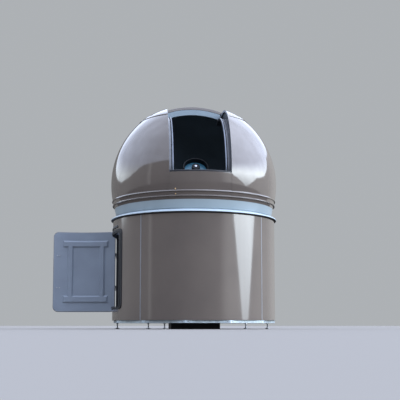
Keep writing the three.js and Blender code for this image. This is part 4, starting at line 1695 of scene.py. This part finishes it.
@dataclass
class Slit:
    """Sill, channels with flanges, rails, wide trims and the rim at the slit's rear end."""

    sill_depth: float = 0.190
    sill_half_width: float = 0.370
    floor_inner: float = 0.864
    floor_outer: float = 0.872
    side_near: float = 0.395
    side_far: float = 0.403
    side_outer: float = 0.990
    side_under_cap: float = 0.974
    rail_outer: float = 0.896
    rail_width: float = 0.016
    trim_outer: float = 0.888
    trim_near: float = 0.343
    trim_far: float = 0.394
    cap_end: float = 43.0
    rear_end: float = -12.0
    front_end: float = 97.0
    facet: float = 2.0
    rear_stop: float = 0.0123
    rim_top: float = 0.002
    rim_foot: float = 0.055
    rim_thickness: float = 0.0117
    rim_steps: int = 24

    def build(self) -> None:
        """Builds the sill, both sides and the rear rim."""
        radius = sphere_radius(SILL_BOTTOM)
        sill = ring("slit_sill_step", [
            (radius - self.sill_depth, SILL_BOTTOM), (radius, SILL_BOTTOM),
            (radius, SILL_TOP - GAP - 0.004), (radius - 0.004, SILL_TOP - GAP),
            (radius - self.sill_depth, SILL_TOP - GAP),
        ], -APRON_ANGLE, APRON_ANGLE)
        narrow(sill, self.sill_half_width)
        dress(ease(sill, PLATE_EDGE), Body.DOME, SILL_PAINT, ["slit_sill"])
        for side in Side:
            self.side(side)
        self.rear_rim()

    def strip(self, name: str, side: Side, profile: Profile, start: float, end: float) -> Piece:
        """A strip along one side of the slit, cut at the sill and at the rear rim.

        Args:
            name: its name.
            side: the slit's side.
            profile: its section, distance from the shutter axis and distance from the middle.
            start: shutter angle where it starts.
            end: shutter angle where it ends.

        Returns:
            The strip.
        """
        section = [(distance, side.value * x) for distance, x in profile]
        piece = arch(name, section, start, end, self.facet)
        trim(piece, (0, 0, SILL_TOP), (0, 0, -1))
        return trim(piece, (0, SLIT_REAR - self.rear_stop, 0), (0, 1, 0))

    def side(self, side: Side) -> None:
        """The channel, rail and trim of one side.

        Args:
            side: the slit's side.
        """
        word, low, floor = side.word, self.floor_inner, self.floor_outer
        near, far = self.side_near, self.side_far
        sections = []
        for outer in (self.side_outer, self.side_under_cap):
            sections.append([
                (low, SLIT_CLEAR), (low, far), (outer, far), (outer, near), (floor, near),
                (floor, SLIT_CLEAR),
            ])
        channel = weld([
            self.strip("front", side, sections[0], self.cap_end, self.front_end),
            self.strip("rear", side, sections[1], self.rear_end, self.cap_end - 0.02),
        ], f"channel_{word}")
        ease(channel, THIN_EDGE)
        # The channel is near-black as painted shade in the gap beside the trim.
        dress(channel, Body.DOME, CHANNEL_SHADE, [f"slit_channel_{word}"])
        foot = floor + GAP
        section = rectangle(foot, self.rail_outer, SLIT_CLEAR, SLIT_CLEAR + self.rail_width)
        rail = self.strip(f"rail_{word}", side, section, self.rear_end, self.front_end)
        dress(ease(rail, 0.002, 3), Body.DOME, RAIL_METAL, [f"slit_rail_{word}"])
        section = rectangle(foot, self.trim_outer, self.trim_near, self.trim_far)
        cover = self.strip(f"trim_{word}", side, section, self.rear_end, self.front_end)
        dress(ease(cover, 0.004, 4), Body.DOME, TRIM_PAINT, [f"slit_trim_{word}"])

    def rear_rim(self) -> None:
        """The plate that closes the slit's rear end under the cap's curve."""
        reach = SLIT_EDGE - GAP
        centre = CAP_TOP - CAP_CURVE
        steps = self.rim_steps
        across = [-reach + 2 * reach * index / steps for index in range(steps + 1)]

        def height(x: float, drop: float) -> float:
            """The cap's height over the plate at x, less a drop."""
            return centre + math.sqrt(CAP_CURVE**2 - x * x - (SLIT_REAR - 0.006) ** 2) - drop

        rear = SLIT_REAR - GAP
        outline = [Vector((x, rear, height(x, self.rim_top))) for x in across]
        outline += [Vector((x, rear, height(x, self.rim_foot))) for x in reversed(across)]
        plate = prism("rear_rim_plate", outline, Vector((0, -self.rim_thickness, 0)))
        dress(ease(plate, PLATE_EDGE), Body.DOME, RAIL_METAL, ["slit_rear_rim"])


@dataclass
class Shutter:
    """The curved shutter shell, its front arch plate and the lip round that plate."""

    radius: float = 1.104
    half_width: float = 0.397
    front: float = -6.0
    rear: float = -104.0
    plate_angle: float = 0.6
    thickness: float = 0.006
    skirt_inner: float = 1.020
    arch_inner: float = 0.991
    arch_half_width: float = 0.366
    runner_inner: float = 0.8968
    runner_near: float = 0.318
    runner_far: float = 0.332
    runner_drop: float = 0.040
    lip_width: float = 0.035
    seal_width: float = 0.003
    end_gap: float = 0.016
    back_front: float = 0.26
    face_back: float = 0.262
    face_front: float = 0.02
    seal_front: float = 0.12
    runner_front: float = 0.05
    steps: int = 22

    def across(self, radius: float, half_width: float) -> Outline:
        """Points of a circle across the shutter, from -x to +x.

        Args:
            radius: the circle's radius.
            half_width: half of the width it spans.

        Returns:
            The points as distance from the shutter axis and x.
        """
        steps = self.steps
        places = [-half_width + 2 * half_width * index / steps for index in range(steps + 1)]
        return [(math.sqrt(radius**2 - x * x), x) for x in places]

    def build(self) -> None:
        """Builds the shell, the plate, the seal and the lip."""
        inner = self.half_width - self.thickness
        shell = arch("shutter_cover", [
            (self.skirt_inner, -self.half_width), *self.across(self.radius, self.half_width),
            (self.skirt_inner, self.half_width), (self.skirt_inner, inner),
            *self.across(self.radius - self.thickness, inner)[::-1], (self.skirt_inner, -inner),
        ], self.rear, self.front - self.plate_angle - self.end_gap)
        ease(shell, 0.0024, 3, SKIN_SHARP)
        ends = shell.modifiers.new("ends", "TRIANGULATE")
        ends.min_vertices = 5
        ends.ngon_method = "CLIP"
        ends.keep_custom_normals = True
        bpy.ops.object.modifier_apply(modifier=ends.name)
        # The shutter's inside takes the dark lining, painted shade.
        dress(shell, Body.SHUTTER, GELCOAT, ["shutter_shell"], SHADED_LINING, faces_centre)
        self.plate()
        self.lip()

    def plate(self) -> None:
        """The light arch plate, the seal in its face and its two dark runners."""
        half, deep = self.half_width, self.arch_half_width
        under = self.across(self.arch_inner, deep)[::-1]
        feet = [(self.skirt_inner, deep), *under, (self.skirt_inner, -deep)]
        back = arch("arch_plate", [
            (self.skirt_inner, -half), *self.across(self.radius - 0.0015, half),
            (self.skirt_inner, half), *feet,
        ], self.front - self.plate_angle, self.front - self.back_front)
        edge = half - self.lip_width
        outer = self.radius - self.lip_width - self.seal_width
        face = arch("arch_face", [
            *self.across(outer, edge), *self.across(self.arch_inner + 0.0005, edge)[::-1],
        ], self.front - self.face_back, self.front - self.face_front)
        whole = weld([ease(back, THIN_EDGE), ease(face, PLATE_EDGE)], "shutter_arch_plate")
        dress(smooth(whole, 40), Body.SHUTTER, ARCH_PAINT, ["shutter_front_arch"])
        seal = arch("shutter_arch_seal", [
            *self.across(outer + self.seal_width - GAP, edge + self.seal_width - GAP),
            *self.across(outer + GAP, edge + GAP)[::-1],
        ], self.front - self.face_back, self.front - self.seal_front)
        dress(smooth(seal), Body.SHUTTER, RUBBER)
        # The runners take black rubber so they read as the dark hollow under the plate: painted
        # shade.
        runners = []
        for side in Side:
            near, far = side.value * self.runner_near, side.value * self.runner_far
            section = rectangle(self.runner_inner, self.arch_inner - self.runner_drop, near, far)
            runner = arch(
                "runner", section, self.front - self.plate_angle, self.front - self.runner_front)
            runners.append(ease(runner, PLATE_EDGE))
        dress(weld(runners, "shutter_runners"), Body.SHUTTER, RUBBER)

    def lip(self) -> None:
        """The rolled lip of gelcoat round the plate's outer edge."""
        half, near = self.half_width, self.half_width - self.lip_width + self.seal_width
        lip = arch("shutter_front_lip", [
            (self.skirt_inner, -half), *self.across(self.radius, half), (self.skirt_inner, half),
            (self.skirt_inner, near), *self.across(self.radius - self.lip_width, near)[::-1],
            (self.skirt_inner, -near),
        ], self.front - self.face_back, self.front)
        dress(ease(lip, 0.0022, 3, 40), Body.SHUTTER, GELCOAT)


@dataclass
class Pier:
    """Black block, column with its flanges and the fork that holds the telescope."""

    block_half: float = 0.310
    block_top: float = 0.200
    column_radius: float = 0.110
    base_bottom: float = 1.400
    base_top: float = 1.450
    arm_inner: float = 0.176
    arm_outer: float = 0.216
    arm_depth: float = 0.060
    base_depth: float = 0.075
    axle_radius: float = 0.0228
    bore_reach: float = 0.3

    def build(self) -> None:
        """Builds the block, the column and the fork."""
        half = self.block_half
        foot = block("pier_footing", (-half, -half, 0), (half, half, self.block_top))
        # The footing's black paint also stands in for the shade under the dome: partly real paint,
        # partly painted shade.
        dress(ease(foot, 0.008, 3), Body.BASE, BLACK_PAINT, ["pier_block"])
        low, high, radius = self.block_top + GAP, self.base_bottom - GAP, self.column_radius
        column = turned("pier_tube", [
            (0, low), (radius - 0.002, low), (radius, low + 0.002), (radius, low + 0.016),
            (radius - 0.002, low + 0.018), (radius - 0.012, low + 0.018),
            (radius - 0.012, high - 0.022), (radius - 0.002, high - 0.022),
            (radius, high - 0.020), (radius, high - 0.002), (radius - 0.002, high), (0, high),
        ], 64)
        dress(smooth(column, 30), Body.BASE, BLACK_PAINT, ["pier_column"])
        self.fork()

    def fork(self) -> None:
        """The fork: a base with two round-headed arms."""
        base = block("base", (-self.arm_outer, -self.base_depth, self.base_bottom),
                     (self.arm_outer, self.base_depth, self.base_top))
        bodies = [ease(base, 0.006, 3)]
        depth, foot = self.arm_depth, self.base_top - 0.001
        turns = [math.radians(angle) for angle in range(0, 181, 10)]
        outline = [(-depth, foot), (depth, foot)]
        outline += [(depth * math.cos(t), PIVOT_HEIGHT + depth * math.sin(t)) for t in turns]
        on_pivot = Matrix.Translation((0, 0, PIVOT_HEIGHT)) @ Matrix.Rotation(math.pi / 2, 4, "Y")
        for side in Side:
            corners = [Vector((side.value * self.arm_inner, y, z)) for y, z in outline]
            width = side.value * (self.arm_outer - self.arm_inner)
            arm = prism("arm", corners, Vector((width, 0, 0)))
            bore = rectangle(0, self.axle_radius, -self.bore_reach, self.bore_reach)
            hole = turned("hole", bore, 48, on_pivot)
            bodies.append(ease(combine(arm, hole, Cut.AWAY), 0.003, 3, 40))
        mount = smooth(weld(bodies, "fork_mount"), 30)
        dress(mount, Body.BASE, BLACK_PAINT, ["telescope_fork"])


@dataclass
class Telescope:
    """The tube with its front ring, corrector plate and secondary cell, tipped to the front."""

    altitude: float = 37.0
    radius: float = 0.150
    back: float = -0.250
    corrector_at: float = 0.350
    bore: float = 0.146
    groove: tuple[float, float] = (0.292, 0.295)
    ring_back: float = 0.300
    ring_front: float = 0.417
    ring_radius: float = 0.162
    axle_radius: float = 0.022
    axle_root: float = 0.140
    axle_reach: float = 0.216
    knob_aside: float = 0.008

    @property
    def place(self) -> Matrix:
        """Where the tube goes from its upright build on the origin."""
        tip = Matrix.Rotation(math.radians(90 - self.altitude), 4, "X")
        return Matrix.Translation((0, 0, PIVOT_HEIGHT)) @ tip

    def build(self) -> None:
        """Builds the tube, the ring, the plate and the cell."""
        front = self.corrector_at - GAP
        low, high = self.groove
        tube = turned("optical_tube", [
            (0, self.back), (0.055, self.back), (0.058, self.back + 0.003),
            (0.108, self.back + 0.003), (0.113, self.back + 0.004),
            (self.radius - 0.002, self.back + 0.028),
            (self.radius, self.back + 0.032), (self.radius, self.back + 0.060),
            (self.radius - 0.003, self.back + 0.063), (self.radius - 0.003, low),
            (self.radius, high), (self.radius, front), (0, front),
        ], 72)
        axles = []
        for side in Side:
            turn = Matrix.Rotation(side.value * math.pi / 2, 4, "Y")
            axles.append(turned("axle", [
                (0, self.axle_root), (self.axle_radius, self.axle_root),
                (self.axle_radius, self.axle_reach - 0.002),
                (self.axle_radius - 0.002, self.axle_reach), (0, self.axle_reach),
            ], 32, turn))
        whole = weld([smooth(tube, 35), *axles], "tube_with_axles")
        smooth(settle(whole, self.place), 35)
        dress(whole, Body.TELESCOPE, BLACK_PAINT, ["telescope_tube"])
        self.front_ring()
        self.optics()

    def front_ring(self) -> None:
        """The dew ring round the tube's front."""
        inner, outer = self.radius + GAP, self.ring_radius
        back, front = self.ring_back, self.ring_front
        shade = ring("dew_ring", [
            (inner, back), (outer - 0.002, back), (outer, back + 0.002), (outer, front - 0.003),
            (outer - 0.0012, front - 0.0008), (outer - 0.004, front), (inner + 0.002, front),
            (inner, front - 0.002),
        ], facet=5.0)
        smooth(settle(shade, self.place), 35)
        dress(shade, Body.TELESCOPE, DEW_PAINT, ["telescope_front_ring"])

    def optics(self) -> None:
        """The corrector plate and the cell of the small mirror in its middle."""
        low = self.corrector_at
        plate = turned("corrector_plate", [
            (0, low), (self.bore - 0.001, low), (self.bore, low + 0.001),
            (self.bore, low + 0.004), (self.bore - 0.001, low + 0.005), (0, low + 0.005),
        ], 96, self.place)
        # The plate's teal is a painted reflection of the sky.
        dress(smooth(plate, 30), Body.TELESCOPE, CORRECTOR_SKY_TINT, ["telescope_corrector"])
        foot = low + 0.005 + GAP
        cell = turned("mirror_cell", [
            (0, foot), (0.053, foot), (0.053, low + 0.066), (0.052, low + 0.070),
            (0.049, low + 0.073), (0.028, low + 0.073), (0.0275, low + 0.0715), (0, low + 0.0715),
        ], 48, self.place)
        smooth(cell, 35)
        dress(cell, Body.TELESCOPE, DEW_PAINT, ["telescope_secondary_cell"])
        # A small silver disc shifted up on the cell stands in for the sky's glint on its cap:
        # painted highlight.
        knob = turned("mirror_cell_cap", [
            (0, low + 0.0718), (0.018, low + 0.0718), (0.018, low + 0.0730), (0.016, low + 0.0745),
            (0.012, low + 0.0755), (0.006, low + 0.0759), (0, low + 0.0760),
        ], 40, self.place @ Matrix.Translation((0, self.knob_aside, 0)))
        dress(smooth(knob, 40), Body.TELESCOPE, CAP_HIGHLIGHT)


# Stage


@dataclass
class Studio:
    """Floor, camera at the photograph's place, and the surroundings that the gelcoat mirrors."""

    camera_place: Triple = (-0.873, -10.614, 0.049)
    yaw: float = 5.147
    heading: float = 0.5
    pitch: float = 5.938
    lens: float = 73.643
    shift: float = 0.10
    sensor: float = 36.0
    sight: tuple[float, float] = (0.05, 200.0)
    floor_size: float = 80.0
    backdrop: Triple = (0.42, 0.44, 0.46)
    floor_colour: Triple = (0.285, 0.270, 0.250)
    floor_mirrored: Triple = (0.06, 0.06, 0.065)
    band_edge: Table = (
        (-180, 26), (-168, 23), (-155, 18), (-145, 14), (-135, 10), (-122, 7), (-105, 9), (-92, 14),
        (-80, 20), (-65, 23), (-45, 26), (-20, 24), (10, 20), (30, 14), (46, 9.5), (84, 8.5),
        (95, 9.0), (108, 11.5), (118, 16), (130, 22), (150, 21), (165, 22), (180, 26),
    )
    band_highest: float = 30.0
    band_blur: float = 0.8
    band_dip: Triple = (70.5, 4.5, 0.55)
    low_light: Table = (
        (-180, 0.15), (-140, 0.25), (-110, 0.40), (-80, 0.32), (-72, 0.30), (-68, 0.72),
        (-64, 0.20), (-30, 0.13), (0, 0.15), (30, 0.26), (42, 1.08), (60, 1.10), (80, 0.85),
        (95, 0.85), (115, 0.65), (135, 0.60), (160, 0.40), (180, 0.15),
    )
    sky_light: Table = (
        (-180, 1.9), (-160, 1.6), (-140, 1.3), (-100, 1.7), (-60, 1.4), (-30, 1.3), (0, 1.95),
        (25, 2.7), (50, 3.5), (80, 3.6), (105, 2.9), (130, 2.1), (160, 1.8), (180, 1.9),
    )
    cloud_light: Table = (
        (-180, 1.0), (-150, 1.6), (-115, 1.7), (-100, 1.2), (-80, 1.0), (30, 1.0), (46, 2.6),
        (80, 2.35), (105, 2.0), (140, 1.4), (180, 1.0),
    )
    cloud_top: float = 4.0
    cloud_bank: tuple[float, float] = (24.0, 11.0)
    haze: tuple[float, float, float, float] = (-2.0, 12.0, 0.35, 1.0)
    mist_grain: Triple = (4.5, 4.0, 0.55)
    mist: tuple[float, float] = (0.86, 1.14)
    sky_colour: Triple = (0.84, 0.94, 1.19)
    cloud_colour: Triple = (0.90, 0.99, 1.06)
    low_colour: Triple = (1.0, 1.0, 1.0)
    brightest: float = 8.0

    def build(self) -> None:
        """Builds the floor, the camera and the surroundings."""
        scene = bpy.context.scene
        scene.view_settings.view_transform = "Standard"
        self.floor()
        self.camera()
        self.surroundings()

    def floor(self) -> None:
        """The plain pale floor, which the gelcoat mirrors darker."""
        deselect()
        bpy.ops.mesh.primitive_plane_add(size=self.floor_size, location=(0, 0, 0))
        plane = bpy.context.object
        plane.name = "studio_floor"
        made = bpy.data.materials.new("floor")
        made.use_nodes = True
        kit, nodes = NodeKit(made.node_tree), made.node_tree.nodes
        shader = nodes["Principled BSDF"]
        colour = (*self.floor_colour, 1)
        socket_value(shader, Base_Color=colour, Roughness=0.9, Specular_IOR_Level=0.1)
        mirrored = kit.add("ShaderNodeEmission", Color=(*self.floor_mirrored, 1), Strength=1.0)
        seen = kit.choice(Ray.GLOSSY, shader.outputs[0], mirrored.outputs[0])
        kit.feed(nodes["Material Output"].inputs[0], seen)
        plane.data.materials.append(made)

    def camera(self) -> None:
        """The camera at the photograph's place, tipped up a little."""
        deselect()
        turn = (math.radians(90 + self.pitch), 0, -math.radians(self.yaw))
        bpy.ops.object.camera_add(location=self.camera_place, rotation=turn)
        camera = bpy.context.object
        camera.data.lens = self.lens
        camera.data.sensor_width = self.sensor
        camera.data.shift_y = self.shift
        camera.data.clip_start, camera.data.clip_end = self.sight
        bpy.context.scene.camera = camera

    def surroundings(self) -> None:
        """A pale backdrop for the camera; a sky over a low dark band for light and gloss."""
        world = bpy.data.worlds.new("studio")
        bpy.context.scene.world = world
        world.use_nodes = True
        kit, nodes = NodeKit(world.node_tree), world.node_tree.nodes
        direction = kit.add("ShaderNodeTexCoord").outputs["Generated"]
        split = kit.add("ShaderNodeSeparateXYZ")
        kit.feed(split.inputs[0], direction)
        x, y, z = split.outputs
        forward = kit.result(Sum.TIMES, y, -1.0)
        bearing = kit.result(Sum.TIMES, kit.result(Sum.ARC_TANGENT, x, forward), DEGREES)
        azimuth = kit.result(Sum.MINUS, bearing, self.heading)
        elevation = kit.result(Sum.TIMES, kit.result(Sum.ARC_SINE, z), DEGREES)
        low = kit.scaled(self.low_colour, kit.curve(azimuth, self.low_light, self.brightest))
        sky = self.sky(kit, direction, azimuth, elevation)
        above = self.above_band(kit, azimuth, elevation)
        light = nodes["Background"]
        kit.feed(light.inputs["Color"], kit.mixed(Mixture.VECTOR, above, low, sky))
        backdrop = kit.add("ShaderNodeBackground", Color=(*self.backdrop, 1))
        seen = kit.choice(Ray.CAMERA, light.outputs[0], backdrop.outputs[0])
        kit.feed(nodes["World Output"].inputs[0], seen)

    def above_band(self, kit: NodeKit, azimuth: Socket, elevation: Socket) -> Socket:
        """Whether a direction lies over the low band, whose edge dips in one place.

        Args:
            kit: the world's nodes.
            azimuth: the direction's azimuth in degrees.
            elevation: its elevation in degrees.

        Returns:
            1 over the band and 0 in it.
        """
        centre, half, slope = self.band_dip
        aside = kit.result(Sum.SIZE, kit.result(Sum.MINUS, azimuth, centre))
        dip = kit.result(Sum.TIMES, kit.result(Sum.MINUS, aside, half), slope)
        height = kit.curve(azimuth, self.band_edge, self.band_highest)
        over = kit.result(Sum.MINUS, elevation, kit.result(Sum.LEAST, height, dip))
        return kit.spread(over, True, From_Min=-self.band_blur, From_Max=self.band_blur)

    def sky(self, kit: NodeKit, direction: Socket, azimuth: Socket, elevation: Socket) -> Socket:
        """The sky's light: blue above, a bank of cloud below, haze at its foot.

        Args:
            kit: the world's nodes.
            direction: the direction as a vector.
            azimuth: its azimuth in degrees.
            elevation: its elevation in degrees.

        Returns:
            The light.
        """
        start, end = self.cloud_bank
        bank = kit.spread(elevation, True, From_Min=start, From_Max=end)
        tint = kit.mixed(Mixture.VECTOR, bank, self.sky_colour, self.cloud_colour)
        clouds = kit.result(
            Sum.MINUS, kit.curve(azimuth, self.cloud_light, self.cloud_top), 1.0)
        gain = kit.result(Sum.PLUS, kit.result(Sum.TIMES, clouds, bank), 1.0)
        clear = kit.curve(azimuth, self.sky_light, self.brightest)
        glow = kit.result(Sum.TIMES, clear, gain)
        thin, thick = self.mist
        mist = kit.noise(direction, *self.mist_grain)
        low, high = NOISE_SPAN
        drift = kit.spread(mist, From_Min=low, From_Max=high, To_Min=thin, To_Max=thick)
        foot, head, dim, full = self.haze
        haze = kit.spread(elevation, From_Min=foot, From_Max=head, To_Min=dim, To_Max=full)
        drifting = kit.result(Sum.TIMES, glow, drift)
        return kit.scaled(tint, kit.result(Sum.TIMES, drifting, haze))


def main() -> None:
    """Builds the observatory piece by piece, then its stage."""
    logging.basicConfig(level=logging.INFO, format="%(message)s", stream=sys.stdout)
    Studio().build()
    assemblies = (BaseFrame, Wall, Doorway, Door, Rings, DomeShell, Slit, Shutter, Pier, Telescope)
    for assembly in assemblies:
        LOG.info("building %s", assembly.__name__)
        assembly().build()
    deselect()


if __name__ == "__main__":
    main()
